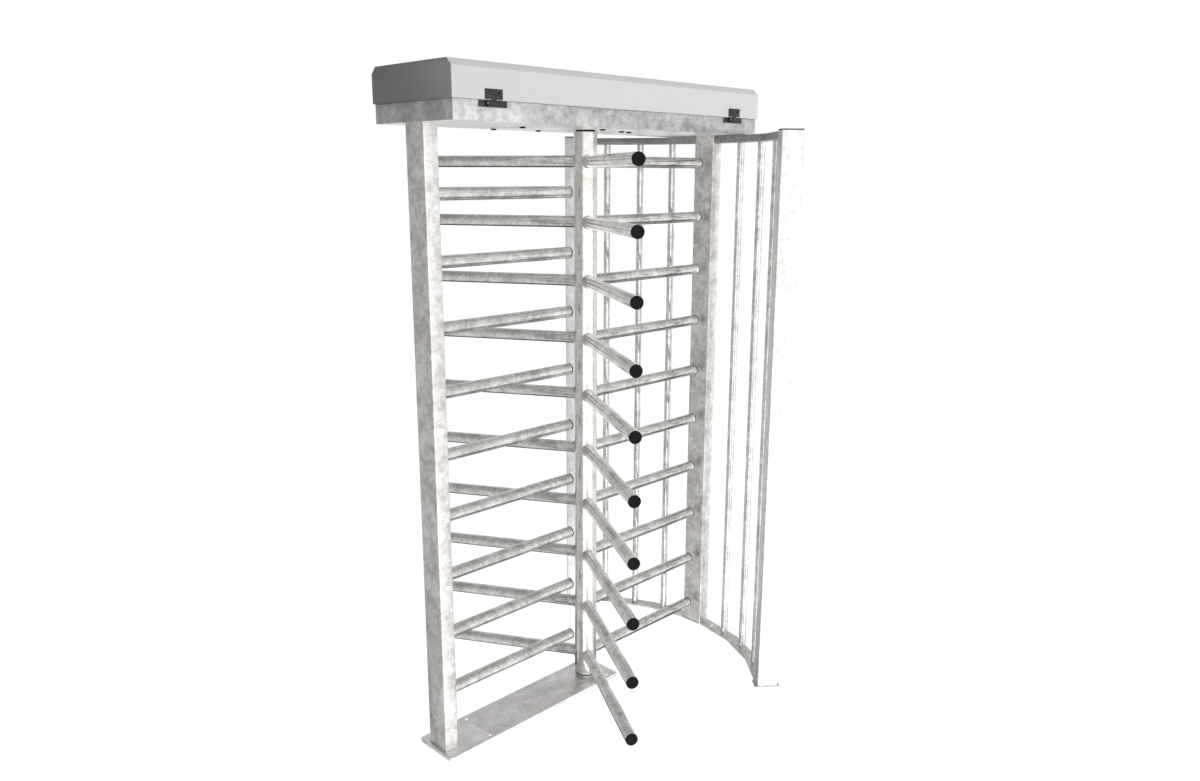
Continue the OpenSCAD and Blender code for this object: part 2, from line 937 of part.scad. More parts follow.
module damper_body() {
    color(steel) translate([-pinion_x, 0, bridge_top]) difference() {
        union() {
            cylinder(d = 56, h = 28);
            translate([-36, -10, 0]) cube([72, 20, 5]);
        }
        translate([0, 0, -1])
            cylinder(d = pinion_shaft_d + 2 * run_clear, h = 24);
    }
}

// ---------- follower ----------

module follower_arm() {
    color(steel) translate([follower_x, 0, 0]) {
        translate([0, 0, follower_z]) difference() {
            union() {
                translate([-follower_w / 2, follower_pivot_y, 0])
                    cube([follower_w, follower_tail_y - follower_pivot_y,
                        follower_t]);
                translate([0, follower_pivot_y, 0])
                    cylinder(d = 26, h = follower_t);
            }
            translate([0, follower_pivot_y, -1])
                cylinder(d = stud_d + 2 * run_clear, h = follower_t + 2);
        }
        translate([0, 0, cam_z - 1])
            cylinder(d = roller_pin_d, h = follower_z - cam_z + 2);
        translate([0, 0, cam_z - 2]) cylinder(d = 14, h = 2 - gap);
    }
}

module follower_roller() {
    color(steel) translate([follower_x, 0, cam_z])
        tube(roller_d, (roller_d - roller_pin_d) / 2 - run_clear, cam_t);
}

// Studs for the follower and the two pawls, each with a shoulder
module pivot_studs() {
    color(steel) {
        stud(follower_x, follower_pivot_y, follower_z, follower_t);
        for (s = [-1, 1]) stud(pawl_x, s * pawl_y, disc_z, disc_t);
    }
}

module stud(x, y, seat_z, t) {
    translate([x, y, 0]) {
        translate([0, 0, plate_top])
            cylinder(d = 20, h = seat_z - gap - plate_top);
        translate([0, 0, plate_top])
            cylinder(d = stud_d, h = seat_z + t + 4 - plate_top);
        translate([0, 0, seat_z + t + gap]) cylinder(d = 16, h = 3);
    }
}

module follower_spring() {
    length = follower_x - follower_w / 2 - gap - spring_bracket_x;
    color(steel) translate([spring_bracket_x, spring_y,
        follower_z + follower_t / 2]) along_x() tube(16, 2.5, length);
}

// ---------- pawls, plungers and solenoids ----------

module pawl() {
    color(steel) translate([pawl_x, pawl_y, disc_z]) difference() {
        linear_extrude(disc_t) {
            circle(d = 24);
            polygon([[-65.5, -24], [-56.5, -24], [-51, -11], [0, -9], [0, 9],
                [-59, -2], [-65.5, -11]]);
            polygon([[0, -8], [tail_len + 7, -6], [tail_len + 7, 6], [0, 8]]);
        }
        translate([0, 0, -1]) cylinder(d = stud_d + 2 * run_clear,
            h = disc_t + 2);
        translate([tail_len - 3, -2.5, -1]) cube([6, 5, disc_t + 2]);
    }
}

module pawl_entry() {
    mirror([0, 1, 0]) pawl();
}

module pawl_exit() {
    pawl();
}

// Fork, link pin, rod and return spring of one solenoid
module plunger() {
    fork_w = 18;
    fork_y = pawl_y + fork_back;
    cheek = 5;
    reach = disc_t / 2 + 0.5 + cheek;
    color(steel) translate([plunger_x, 0, plunger_z]) {
        difference() {
            translate([-fork_w / 2, pawl_y - 7, -reach])
                cube([fork_w, fork_back + 7, 2 * reach]);
            translate([-fork_w, pawl_y - 8, -reach + cheek])
                cube([2 * fork_w, fork_back + 1, 2 * reach - 2 * cheek]);
        }
        translate([0, pawl_y, -reach])
            cylinder(d = link_pin_d, h = 2 * reach);
        translate([0, fork_y - 1, 0]) along_y()
            cylinder(d = plunger_d, h = solenoid_y0 + 38 - fork_y);
        translate([0, fork_y, 0]) along_y()
            tube(well_d - 3, 2, solenoid_y0 + 2 - fork_y);
    }
}

module plunger_entry() {
    mirror([0, 1, 0]) plunger();
}

module plunger_exit() {
    plunger();
}

module solenoids() {
    color(black) both_sides()
        translate([plunger_x, solenoid_y0, 0]) difference() {
            translate([-solenoid_w / 2, 0, plate_top])
                cube([solenoid_w, solenoid_l, solenoid_h]);
            translate([0, -1, plunger_z]) along_y()
                cylinder(d = plunger_d + 2 * run_clear, h = solenoid_l - 4);
            translate([0, -1, plunger_z]) along_y()
                cylinder(d = well_d, h = well_l + 1);
        }
}

// ---------- control gear ----------

module control_box() {
    color("gainsboro") translate([control_x, -control_w / 2, floor_top])
        difference() {
            cube([control_l, control_w, control_h]);
            translate([control_wall, control_wall, control_wall])
                cube([control_l - 2 * control_wall,
                    control_w - 2 * control_wall, control_h]);
        }
}

module control_box_cover() {
    color("gainsboro") translate([control_x, -control_w / 2,
        floor_top + control_h]) cube([control_l, control_w, 8]);
}

module power_supply() {
    color("silver") translate([supply_x, -supply_size[1] / 2, floor_top])
        difference() {
        cube(supply_size);
        for (k = [0 : 9]) translate([20 + 11 * k, 12, supply_size[2] - 4])
            cube([5, 60, 5]);
    }
}

// ---------- the whole turnstile ----------

base_plate();
comb_post();
comb_bars();
comb_caps();
middle_post();
cage_plate();
cage_rails();
cage_bars();
end_posts();
end_post_caps();
post_top_plates();
head_trough();
head_bolts();
cable_grommets();
hinge_plates();
hinge_pins();
lid_rests();
lid_buffers();
foot_pivot();
column_seals();
bearing_housing();
head_bearing();
housing_bolts();
mechanism_plate();
mechanism_spacers();
pivot_studs();
bridge_pillars();
bridge_plate();
solenoids();
follower_spring();
visitor_counter();
damper_body();
control_box();
control_box_cover();
power_supply();
rotor_column();
wing_cage_arms();
wing_back_arms();
wing_front_arms();
arm_caps();
foot_hub();
foot_bearing();
drive_shaft();
index_cam();
lock_disc();
main_gear();
shaft_nut();
counter_pinion();
damper_pinion();
follower_arm();
follower_roller();
pawl_entry();
pawl_exit();
plunger_entry();
plunger_exit();
head_lid();
hinge_leaves();
hinge_leaf_screws();
lock_left();
lock_right();
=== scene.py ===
# %% [markdown]
# # A full-height turnstile with a visitor counter
# The turnstile is a welded steel frame, dipped in molten zinc, with a rotor
# of three wings that turns between a comb and a curved cage. A box on top
# holds the gear that steps, locks and counts. The engineering model gives
# every piece its place, so this file never measures anything by eye: it
# asks the frame for a piece's corners and builds the finished piece there.

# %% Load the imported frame
import json
import math
import bmesh
import bpy
from mathutils import Matrix, Vector

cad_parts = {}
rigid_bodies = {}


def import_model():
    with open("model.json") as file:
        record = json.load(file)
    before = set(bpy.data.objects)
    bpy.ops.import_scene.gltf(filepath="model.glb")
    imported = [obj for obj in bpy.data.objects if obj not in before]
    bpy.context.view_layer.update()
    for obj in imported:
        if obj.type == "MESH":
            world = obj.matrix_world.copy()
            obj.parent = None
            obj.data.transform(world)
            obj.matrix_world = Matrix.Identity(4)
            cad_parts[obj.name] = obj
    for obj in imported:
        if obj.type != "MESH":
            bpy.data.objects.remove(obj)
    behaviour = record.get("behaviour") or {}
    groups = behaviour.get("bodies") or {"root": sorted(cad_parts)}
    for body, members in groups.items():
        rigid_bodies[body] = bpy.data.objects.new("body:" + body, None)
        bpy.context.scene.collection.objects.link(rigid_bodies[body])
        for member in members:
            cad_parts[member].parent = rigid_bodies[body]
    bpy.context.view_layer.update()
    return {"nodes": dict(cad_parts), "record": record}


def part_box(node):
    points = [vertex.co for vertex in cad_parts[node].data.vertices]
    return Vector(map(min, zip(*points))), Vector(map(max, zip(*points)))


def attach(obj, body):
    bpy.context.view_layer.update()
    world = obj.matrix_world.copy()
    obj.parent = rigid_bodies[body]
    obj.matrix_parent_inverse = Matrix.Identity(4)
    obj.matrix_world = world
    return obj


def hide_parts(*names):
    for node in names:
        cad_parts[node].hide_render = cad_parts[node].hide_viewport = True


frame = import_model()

scene = bpy.context.scene
nodes = frame["nodes"]

# %% [markdown]
# ## The camera
# The lens stands about head high in front of the comb post and looks along
# the diagonal of the passage, a little downwards. Its place and turn are
# given as plain numbers: a yaw, a pitch and a small roll, from which the
# three axes of the camera follow. A matrix made from those axes is clearer
# than a chain of Euler turns, because each column is a direction.

# %% Place the camera
yaw, pitch, roll = math.radians(45.1045), math.radians(12.8636), math.radians(0.189)
picture_width, focal_length, film_width = 1200, 945.32, 36
eye = (-2.28055, -2.34474, 1.85893)
ahead = Vector((math.sin(yaw) * math.cos(pitch), math.cos(yaw) * math.cos(pitch),
                -math.sin(pitch)))
level_right = Vector((math.cos(yaw), -math.sin(yaw), 0))
level_up = level_right.cross(ahead)
right = level_right * math.cos(roll) + level_up * math.sin(roll)
up = level_up * math.cos(roll) - level_right * math.sin(roll)

lens = bpy.data.cameras.new("camera")
lens.sensor_width = film_width
lens.lens = focal_length / picture_width * film_width
lens.clip_end = 200
camera = bpy.data.objects.new("camera", lens)
camera.matrix_world = Matrix((right, up, -ahead)).transposed().to_4x4()
camera.location = eye
scene.collection.objects.link(camera)
scene.camera = camera
print("camera at", tuple(round(v, 3) for v in eye))

# %% [markdown]
# ## Short ways to write node trees
# Materials and Geometry Nodes are both trees of small boxes and wires. The
# bench below puts one box in a tree, sets its options and fills its inputs
# in one call: a plain value is set on the input, and another box's output
# is wired to it. That keeps every later tree short enough to read.

# %% The bench that places and wires nodes
class Bench:
    def __init__(self, tree):
        self.tree = tree

    def put(self, kind, inputs=None, **options):
        box = self.tree.nodes.new(kind)
        for option, value in options.items():
            setattr(box, option, value)
        for socket, value in (inputs or {}).items():
            self.feed(box, socket, value)
        return box

    def feed(self, box, socket, value):
        if isinstance(value, bpy.types.Node):
            value = value.outputs[0]
        if isinstance(value, bpy.types.NodeSocket):
            self.tree.links.new(value, box.inputs[socket])
        elif box.inputs[socket].type == "RGBA":
            box.inputs[socket].default_value = (*value, 1)
        else:
            box.inputs[socket].default_value = value

    def sum(self, operation, a, b=0.0, c=0.0):
        box = self.put("ShaderNodeMath", {0: a, 1: b, 2: c}, operation=operation)
        return box.outputs[0]

    def vector(self, x=0.0, y=0.0, z=0.0):
        return self.put("ShaderNodeCombineXYZ", {0: x, 1: y, 2: z}).outputs[0]

    def split(self, vector):
        return self.put("ShaderNodeSeparateXYZ", {0: vector}).outputs

    def blend(self, share, a, b, kind="RGBA"):
        first, result = {"RGBA": (6, 2), "FLOAT": (2, 0)}[kind]
        box = self.put("ShaderNodeMix", data_type=kind)
        self.feed(box, 0, share)
        self.feed(box, first, a)
        self.feed(box, first + 1, b)
        return box.outputs[result]

    def ramp(self, value, low, high, to_low=0.0, to_high=1.0):
        box = self.put("ShaderNodeMapRange", {0: value, 1: low, 2: high,
                                              3: to_low, 4: to_high})
        return box.outputs[0]

    def noise(self, place, scale, detail, roughness=0.5, distortion=0.0):
        return self.put("ShaderNodeTexNoise", {
            "Vector": place, "Scale": scale, "Detail": detail, "Roughness": roughness,
            "Distortion": distortion}).outputs[0]


def new_tree(kind, name, takes, gives):
    """A node group with named inputs {name: (socket type, value)} and outputs.

    Returns the tree, its bench, the sockets it takes and the box it gives to.
    """
    tree = bpy.data.node_groups.new(name, kind)
    for label, (socket, value) in takes.items():
        item = tree.interface.new_socket(label, in_out="INPUT", socket_type=socket)
        if value is not None:
            item.default_value = value
    for label, socket in gives.items():
        tree.interface.new_socket(label, in_out="OUTPUT", socket_type=socket)
    bench = Bench(tree)
    return (tree, bench, bench.put("NodeGroupInput").outputs,
            bench.put("NodeGroupOutput"))

FLOAT, VECTOR = "NodeSocketFloat", "NodeSocketVector"
INT, OBJECT = "NodeSocketInt", "NodeSocketObject"
GEOMETRY, MATERIAL = "NodeSocketGeometry", "NodeSocketMaterial"
print("bench ready")

# %% [markdown]
# ## Effects that several finishes share
# Zinc that sets on steel forms a mottled skin: wide cloudy patches, with
# small crystals inside them. Powder coat and moulded plastic have a fine
# grain. Dust lies on what faces up. Each of these is a small shader group
# that gives out masks and heights only, so every finish can use it with its
# own sizes, and the shader that takes the light stays in the material.

# %% Group: the mottle of a zinc skin
tree, b, take, gives = new_tree(
    "ShaderNodeTree", "zinc mottle",
    {"Cloud Size": (FLOAT, 0.07), "Crystal Size": (FLOAT, 0.012)},
    {"Tone": FLOAT, "Crystals": FLOAT, "Height": FLOAT})
place = b.put("ShaderNodeTexCoord").outputs["Object"]
cloud = b.noise(place, b.sum("DIVIDE", 1.0, take["Cloud Size"]), 5.0, 0.62, 0.4)
fine = b.noise(place, b.sum("DIVIDE", 3.2, take["Cloud Size"]), 6.0, 0.75)
crystal = b.put("ShaderNodeTexVoronoi", {
    "Vector": place, "Scale": b.sum("DIVIDE", 1.0, take["Crystal Size"])})
flake = b.put("ShaderNodeSeparateColor", {0: crystal.outputs["Color"]}).outputs[0]
mist = b.sum("MULTIPLY_ADD", cloud, 0.5, b.sum("MULTIPLY", fine, 0.5))
tone = b.sum("MULTIPLY_ADD", b.sum("SUBTRACT", flake, 0.5), 0.14,
             b.ramp(mist, 0.40, 0.60))
b.feed(gives, "Tone", tone)
b.feed(gives, "Crystals", flake)
b.feed(gives, "Height", cloud)
zinc_mottle = tree

# %% Group: painted light on the faces that look down, standing in for the floor's bounce
tree, b, take, gives = new_tree(
    "ShaderNodeTree", "sheltered side", {"Amount": (FLOAT, 1.0)}, {"Mask": FLOAT})
facing = b.split(b.put("ShaderNodeNewGeometry").outputs["Normal"])[2]
b.feed(gives, "Mask", b.sum("MULTIPLY", b.ramp(facing, -0.6, -0.95), take["Amount"]))
painted_underside_light = tree

# %% Group: the fine grain of powder coat and moulded plastic
tree, b, take, gives = new_tree(
    "ShaderNodeTree", "fine grain", {"Grain Size": (FLOAT, 0.0012)},
    {"Tone": FLOAT, "Height": FLOAT})
place = b.put("ShaderNodeTexCoord").outputs["Object"]
speck = b.noise(place, b.sum("DIVIDE", 1.0, take["Grain Size"]), 2.0)
drift = b.noise(place, b.sum("DIVIDE", 0.02, take["Grain Size"]), 3.0)
b.feed(gives, "Tone", drift)
b.feed(gives, "Height", speck)
fine_grain = tree

# %% Group: dust that lies on what faces up
tree, b, take, gives = new_tree(
    "ShaderNodeTree", "settled dust", {"Amount": (FLOAT, 0.3)}, {"Mask": FLOAT})
facing = b.split(b.put("ShaderNodeNewGeometry").outputs["Normal"])[2]
patch = b.noise(b.put("ShaderNodeTexCoord").outputs["Object"], 22.0, 6.0, 0.65)
lying = b.sum("MULTIPLY", b.ramp(facing, 0.5, 1.0), b.ramp(patch, 0.35, 0.7))
b.feed(gives, "Mask", b.sum("MULTIPLY", lying, take["Amount"]))
settled_dust = tree

# %% Group: the fine lines that a lathe or a grinding wheel leaves
tree, b, take, gives = new_tree(
    "ShaderNodeTree", "tool lines", {"Line Spacing": (FLOAT, 0.0006)},
    {"Tone": FLOAT, "Height": FLOAT})
place = b.put("ShaderNodeTexCoord").outputs["Object"]
squeezed = b.put("ShaderNodeVectorMath", {0: place, 1: (0.05, 0.05, 1.0)},
                 operation="MULTIPLY")
line = b.noise(squeezed, b.sum("DIVIDE", 1.0, take["Line Spacing"]), 3.0, 0.6)
stain = b.noise(place, 40.0, 4.0)
b.feed(gives, "Tone", b.sum("MULTIPLY_ADD", line, 0.5, b.sum("MULTIPLY", stain, 0.5)))
b.feed(gives, "Height", line)
tool_lines = tree
print("shader groups:", [g.name for g in bpy.data.node_groups])

# %% [markdown]
# ## The finishes
# A finish is one Principled shader whose colour, roughness and bump come
# from the groups. Zinc is only partly mirror-like once its skin has dulled,
# so it isn't fully metallic, and darker and lighter clouds cross it. Tubes
# are smoother than rolled sections and sheet. Paint and plastic aren't
# metallic at all. Numbers that are the same all over a surface are set on
# the shader's own sockets.

# %% Start a finish and add its bump
def start_finish(name, metallic, roughness, specular=0.5, coat=0.0):
    material = bpy.data.materials.new(name)
    material.use_nodes = True
    bench = Bench(material.node_tree)
    shader = material.node_tree.nodes["Principled BSDF"]
    for socket, value in (("Metallic", metallic), ("Roughness", roughness),
                          ("Specular IOR Level", specular), ("Coat Weight", coat)):
        shader.inputs[socket].default_value = value
    return material, bench, shader


def use_group(bench, tree, **values):
    box = bench.put("ShaderNodeGroup", node_tree=tree)
    for label, value in values.items():
        box.inputs[label.replace("_", " ")].default_value = value
    return box.outputs


def add_bump(bench, shader, height, depth):
    bench.feed(shader, "Normal", bench.put("ShaderNodeBump", {
        "Height": height, "Distance": depth, "Strength": 1.0}))


def darker(colour, share):
    return tuple(c * (1 - share) for c in colour)

# %% Zinc: dipped, plated and worn
underside_light_colour = (0.97, 0.96, 0.965)
zinc_dust, paint_dust = (0.42, 0.40, 0.37), (0.40, 0.38, 0.35)


def zinc_finish(name, dark, light, cloud, crystal, metallic=0.72, rough=(0.30, 0.38),
                bump=0.00004, dust=0.25, underside_light_amount=0.0):
    """The last keyword sets how far faces that look down are painted towards near white:
    painted bounce light from the floor.
    """
    material, bench, shader = start_finish(name, metallic, 0.5, specular=0.4)
    skin = use_group(bench, zinc_mottle, Cloud_Size=cloud, Crystal_Size=crystal)
    colour = bench.blend(bench.ramp(skin["Tone"], 0.0, 1.0), dark, light)
    # Painted light: faces that look down are blended towards near white, standing in for
    # the floor's bounce.
    lit_underside = use_group(bench, painted_underside_light, Amount=underside_light_amount)["Mask"]
    colour = bench.blend(lit_underside, colour, underside_light_colour)
    lying = use_group(bench, settled_dust, Amount=dust)["Mask"]
    colour = bench.blend(lying, colour, zinc_dust)
    bench.feed(shader, "Base Color", colour)
    bench.feed(shader, "Roughness", bench.ramp(skin["Crystals"], 0, 1, *rough))
    add_bump(bench, shader, skin["Height"], bump)
    return material

# %% Paint, plastic and rubber
def powder_finish(name, colour, drift, roughness, grain=0.0012, coat=0.0, dust=0.2,
                  specular=0.3, mirrored=None):
    """mirrored is a painted reflection: the colour that polished neighbours see instead of
    the part's own, if it differs.
    """
    material, bench, shader = start_finish(name, 0.0, roughness, specular, coat)
    skin = use_group(bench, fine_grain, Grain_Size=grain)
    tint = bench.blend(bench.ramp(skin["Tone"], 0.3, 0.7), darker(colour, drift), colour)
    lying = use_group(bench, settled_dust, Amount=dust)["Mask"]
    tint = bench.blend(lying, tint, paint_dust)
    if mirrored:
        # Painted reflection: glossy rays see the mirrored colour in place of the part's
        # own colour.
        path = bench.put("ShaderNodeLightPath").outputs
        tint = bench.blend(path["Is Glossy Ray"], tint, mirrored)
    bench.feed(shader, "Base Color", tint)
    bench.feed(shader, "Roughness",
               bench.ramp(skin["Tone"], 0.3, 0.7, roughness - 0.05, roughness + 0.06))
    add_bump(bench, shader, skin["Height"], 0.00008)
    return material

# %% Metal that was turned, cut or pressed
def machined_finish(name, colour, roughness, spacing=0.0006):
    material, bench, shader = start_finish(name, 1.0, roughness)
    cut = use_group(bench, tool_lines, Line_Spacing=spacing)
    bench.feed(shader, "Base Color", bench.blend(
        bench.ramp(cut["Tone"], 0.35, 0.65), darker(colour, 0.25), colour))
    bench.feed(shader, "Roughness",
               bench.ramp(cut["Tone"], 0.3, 0.7, roughness - 0.08, roughness + 0.1))
    add_bump(bench, shader, cut["Height"], 0.00005)
    return material

# %% Mix every finish
finishes = {
    "galvanised_steel": zinc_finish(
        "galvanised steel", (0.55, 0.54, 0.525), (0.86, 0.86, 0.86), 0.050, 0.009,
        metallic=0.75),
    "galvanised_tube": zinc_finish(
        "galvanised tube", (0.50, 0.49, 0.475), (0.86, 0.86, 0.86), 0.050, 0.010,
        metallic=0.85, rough=(0.09, 0.12), bump=0.000005, dust=0.1),
    "galvanised_column": zinc_finish(
        "galvanised column", (0.58, 0.56, 0.53), (0.80, 0.79, 0.77), 0.060, 0.012,
        metallic=0.8, rough=(0.13, 0.16), bump=0.000005, dust=0.1),
    "post_zinc": zinc_finish(
        "galvanised section", (0.50, 0.485, 0.465), (0.86, 0.855, 0.85), 0.055, 0.009),
    "end_post_zinc": zinc_finish(
        "new galvanised section", (0.58, 0.58, 0.58), (0.80, 0.80, 0.80), 0.050, 0.009),
    "plate_zinc": zinc_finish(
        "galvanised plate", (0.72, 0.71, 0.705), (0.97, 0.96, 0.965), 0.040, 0.007,
        dust=0.05),
    "rail_zinc": zinc_finish(
        "galvanised flat bar", (0.26, 0.255, 0.25), (0.44, 0.44, 0.44), 0.040, 0.007),
    # The trough's underside is painted lighter here: painted bounce light from the floor.
    "galvanised_sheet": zinc_finish(
        "galvanised sheet", (0.32, 0.315, 0.31), (0.60, 0.60, 0.605), 0.070, 0.012,
        metallic=0.75, underside_light_amount=0.95),
    "weld_zinc": zinc_finish(
        "galvanised weld", (0.42, 0.415, 0.405), (0.72, 0.72, 0.72), 0.02, 0.006,
        metallic=0.6, rough=(0.42, 0.66), bump=0.0003),
    "zinc_plate": zinc_finish(
        "bright zinc plate", (0.60, 0.61, 0.60), (0.80, 0.80, 0.77), 0.12, 0.002,
        metallic=0.8, rough=(0.30, 0.42), bump=0.00005),
    "zinc_fasteners": zinc_finish(
        "zinc plated fasteners", (0.55, 0.55, 0.52), (0.80, 0.79, 0.72), 0.02, 0.001,
        metallic=0.9, rough=(0.25, 0.4)),
    "lid_paint": powder_finish(
        "light grey powder coat", (0.455, 0.457, 0.457), 0.03, 0.6, dust=0.03),
    "hinge_black": powder_finish(
        "black powder coat", (0.016, 0.016, 0.018), 0.2, 0.34, grain=0.0009, dust=0.05,
        specular=0.45),
    "black_screw": powder_finish(
        "blackened screw", (0.010, 0.010, 0.011), 0.2, 0.30, specular=0.5, dust=0.05),
    # The caps show light grey in the reflections of polished neighbours: a painted
    # reflection.
    "black_plastic": powder_finish(
        "black moulded plastic", (0.008, 0.008, 0.008), 0.2, 0.6, grain=0.0007,
        dust=0.02, specular=0.08, mirrored=(0.75, 0.75, 0.75)),
    "black_rubber": powder_finish(
        "black rubber", (0.004, 0.004, 0.004), 0.25, 0.9, grain=0.0008, dust=0.05,
        specular=0.0),
    "solenoid_shell": powder_finish(
        "black lacquer", (0.02, 0.02, 0.022), 0.15, 0.3, coat=0.4),
    "counter_plastic": powder_finish(
        "counter housing", (0.035, 0.035, 0.04), 0.15, 0.4, grain=0.0008),
    "box_plastic": powder_finish(
        "light grey plastic", (0.60, 0.60, 0.575), 0.05, 0.45, grain=0.0009),
    "white_ink": powder_finish("white figures", (0.75, 0.75, 0.72), 0.05, 0.5),
    "machined_steel": machined_finish("machined steel", (0.58, 0.58, 0.59), 0.32),
    "gear_brass": machined_finish("machined brass", (0.80, 0.60, 0.28), 0.3),
    "supply_metal": machined_finish(
        "pressed aluminium", (0.72, 0.72, 0.72), 0.42, spacing=0.0012),
}
print("finishes:", len(finishes))

# %% [markdown]
# ## Every frame node gets its finish first
# The record says which slot each node takes. Painting all of them before
# any piece is built means that a node that is never rebuilt still shows its
# proper finish, and the list of slots is written only once.

# %% Paint the frame's own nodes
slot_of = {part["node"]: part["material_slot"] for part in frame["record"]["subparts"]}
for name, node in nodes.items():
    node.data.materials.clear()
    node.data.materials.append(finishes[slot_of[name]])
print("painted", len(slot_of), "nodes")

# %% [markdown]
# ## How pieces join the frame
# A finished piece takes a finish, rides on a body of the frame and stands
# for the nodes that it replaces. Most folded and machined pieces already
# have the right shape in the frame, and lack only the small radius that
# every real edge has, so they are copied, cleaned and bevelled.

# %% Seat a piece on a body, and dress a copy of a node
def seat(piece, body, slot, *replaced, finish=None):
    piece.data.materials.clear()
    piece.data.materials.append(finishes[finish or slot])
    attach(piece, body)
    if replaced:
        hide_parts(*replaced)
    return piece


def add_piece(name, mesh):
    piece = bpy.data.objects.new(name, mesh)
    scene.collection.objects.link(piece)
    return piece

def as_mesh(work, name):
    mesh = bpy.data.meshes.new(name)
    work.to_mesh(mesh)
    work.free()
    return mesh


def smooth_faces(piece, angle=35):
    mesh = piece.data
    for face in mesh.polygons:
        face.use_smooth = True
    work = bmesh.new()
    work.from_mesh(mesh)
    for edge in work.edges:
        edge.smooth = not edge.is_manifold or edge.calc_face_angle(0) < math.radians(angle)
    work.to_mesh(mesh)
    work.free()


def apply_modifiers(piece):
    depsgraph = bpy.context.evaluated_depsgraph_get()
    mesh = bpy.data.meshes.new_from_object(piece.evaluated_get(depsgraph),
                                           depsgraph=depsgraph)
    piece.modifiers.clear()
    piece.data = mesh


def dress(node, body, radius, segments=2, finish=None):
    """A copy of a node whose sharp edges are rounded by radius."""
    work = bmesh.new()
    work.from_mesh(nodes[node].data)
    bmesh.ops.remove_doubles(work, verts=work.verts, dist=1e-6)
    bmesh.ops.dissolve_limit(work, angle_limit=math.radians(0.5), verts=work.verts,
                             edges=work.edges)
    piece = add_piece(node + "_finished", as_mesh(work, node + "_finished"))
    bevel = piece.modifiers.new("edge radius", "BEVEL")
    bevel.width, bevel.segments = radius, segments
    bevel.limit_method, bevel.angle_limit = "ANGLE", math.radians(40)
    bevel.use_clamp_overlap = True
    apply_modifiers(piece)
    smooth_faces(piece)
    return seat(piece, body, slot_of[node], node, finish=finish)

# %% Dress the folded, cut and machined pieces
folded = {"base_plate": 0.0012, "cage_plate": 0.0009, "head_trough": 0.0012,
          "cage_rails": 0.0009, "end_post_caps": 0.0010, "post_top_plates": 0.0008,
          "mechanism_plate": 0.0006, "bridge_plate": 0.0006, "lid_rests": 0.0008}
own_finish = {"head_trough": "galvanised_sheet", "base_plate": "plate_zinc",
              "cage_rails": "rail_zinc", "hinge_leaf_screws": "black_screw"}
for node, radius in folded.items():
    piece = dress(node, "frame", radius, finish=own_finish.get(node))
    print(piece.name, len(piece.data.polygons), "faces")

# %% [markdown]
# ## The lid
# The lid is folded from one sheet: a flat top, two chamfers, two long sides
# and two ends, welded up the corners and ground before it is powder coated.
# Its fold radius is about its sheet's thickness, and shows as a thin bright
# line along each edge, so it gets a wider bevel than the trough.

# %% Dress the lid
lid = dress("head_lid", "head_lid", 0.0016, 3)
print("lid:", len(lid.data.polygons), "faces")

# %% [markdown]
# ## Box-section posts
# A post is cold-rolled box tube, whose corners are rounded by the rolling,
# outside and inside. The section is drawn once as two rings of points and
# pulled up from the plate to the head, which gives true round corners that
# a bevel on a thin wall could not.

# %% Draw a rounded box section and pull it to length
def rounded_ring(x0, x1, y0, y1, radius, steps=5):
    ring = []
    corners = ((x1, y1, 0), (x0, y1, 90), (x0, y0, 180), (x1, y0, 270))
    for x, y, start in corners:
        cx = x - math.copysign(radius, x - (x0 + x1) / 2)
        cy = y - math.copysign(radius, y - (y0 + y1) / 2)
        for k in range(steps + 1):
            a = math.radians(start + 90 * k / steps)
            ring.append((cx + radius * math.cos(a), cy + radius * math.sin(a)))
    return ring


def box_section(work, size, wall, radius, z0, z1, turn=0.0):
    """Adds an open box tube; size is (x0, x1, y0, y1), turned about the rotor's axis."""
    x0, x1, y0, y1 = size
    outer = rounded_ring(x0, x1, y0, y1, radius)
    inner = rounded_ring(x0 + wall, x1 - wall, y0 + wall, y1 - wall, radius - wall)
    turned = Matrix.Rotation(turn, 3, "Z")
    loops = [[work.verts.new(turned @ Vector((x, y, z))) for x, y in ring]
             for ring, z in ((outer, z0), (outer, z1), (inner, z1), (inner, z0))]
    count = len(outer)
    for a in range(4):
        for k in range(count):
            n = (k + 1) % count
            work.faces.new((loops[a][k], loops[a][n], loops[(a + 1) % 4][n],
                            loops[(a + 1) % 4][k]))


def section_post(node, turns=(0.0,), size=None, finish="post_zinc"):
    wall, radius = 0.003, 0.0045
    low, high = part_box(node)
    x0, x1, y0, y1 = size or (low.x, high.x, low.y, high.y)
    work = bmesh.new()
    for turn in turns:
        side = (x0, x1, y0, y1) if turn >= 0 else (x0, x1, -y1, -y0)
        box_section(work, side, wall, radius, low.z, high.z, turn)
    bmesh.ops.recalc_face_normals(work, faces=work.faces)
    piece = add_piece(node + "_finished", as_mesh(work, node + "_finished"))
    smooth_faces(piece)
    return seat(piece, "frame", slot_of[node], node, finish=finish)

# %% Make the comb post, the middle post and the two end posts
cage_flat, end_deep, end_wide = 0.6325, 0.075, 0.050
end_turn = math.radians(41.5)
end_start = cage_flat * math.tan(math.radians(7.5)) - 0.003
comb_post = section_post("comb_post")
middle_post = section_post("middle_post")
end_posts = section_post(
    "end_posts", turns=(end_turn, -end_turn), finish="end_post_zinc",
    size=(cage_flat, cage_flat + end_deep, end_start, end_start + end_wide))
print("posts:", [p.name for p in (comb_post, middle_post, end_posts)])

# %% [markdown]
# ## Tubes set out by rule
# Ten arms stand above each other on each wing at one pitch, and nine comb
# bars stand between them. One Geometry Nodes tree draws one tube along +X
# and sets out as many as the rule asks: a line of points going up, an
# instance on each, and a turn about the rotor's axis for the whole wing.
# Every tree ends in the same way, so that end is written once: instances
# become real, the whole may turn, and it takes its finish.

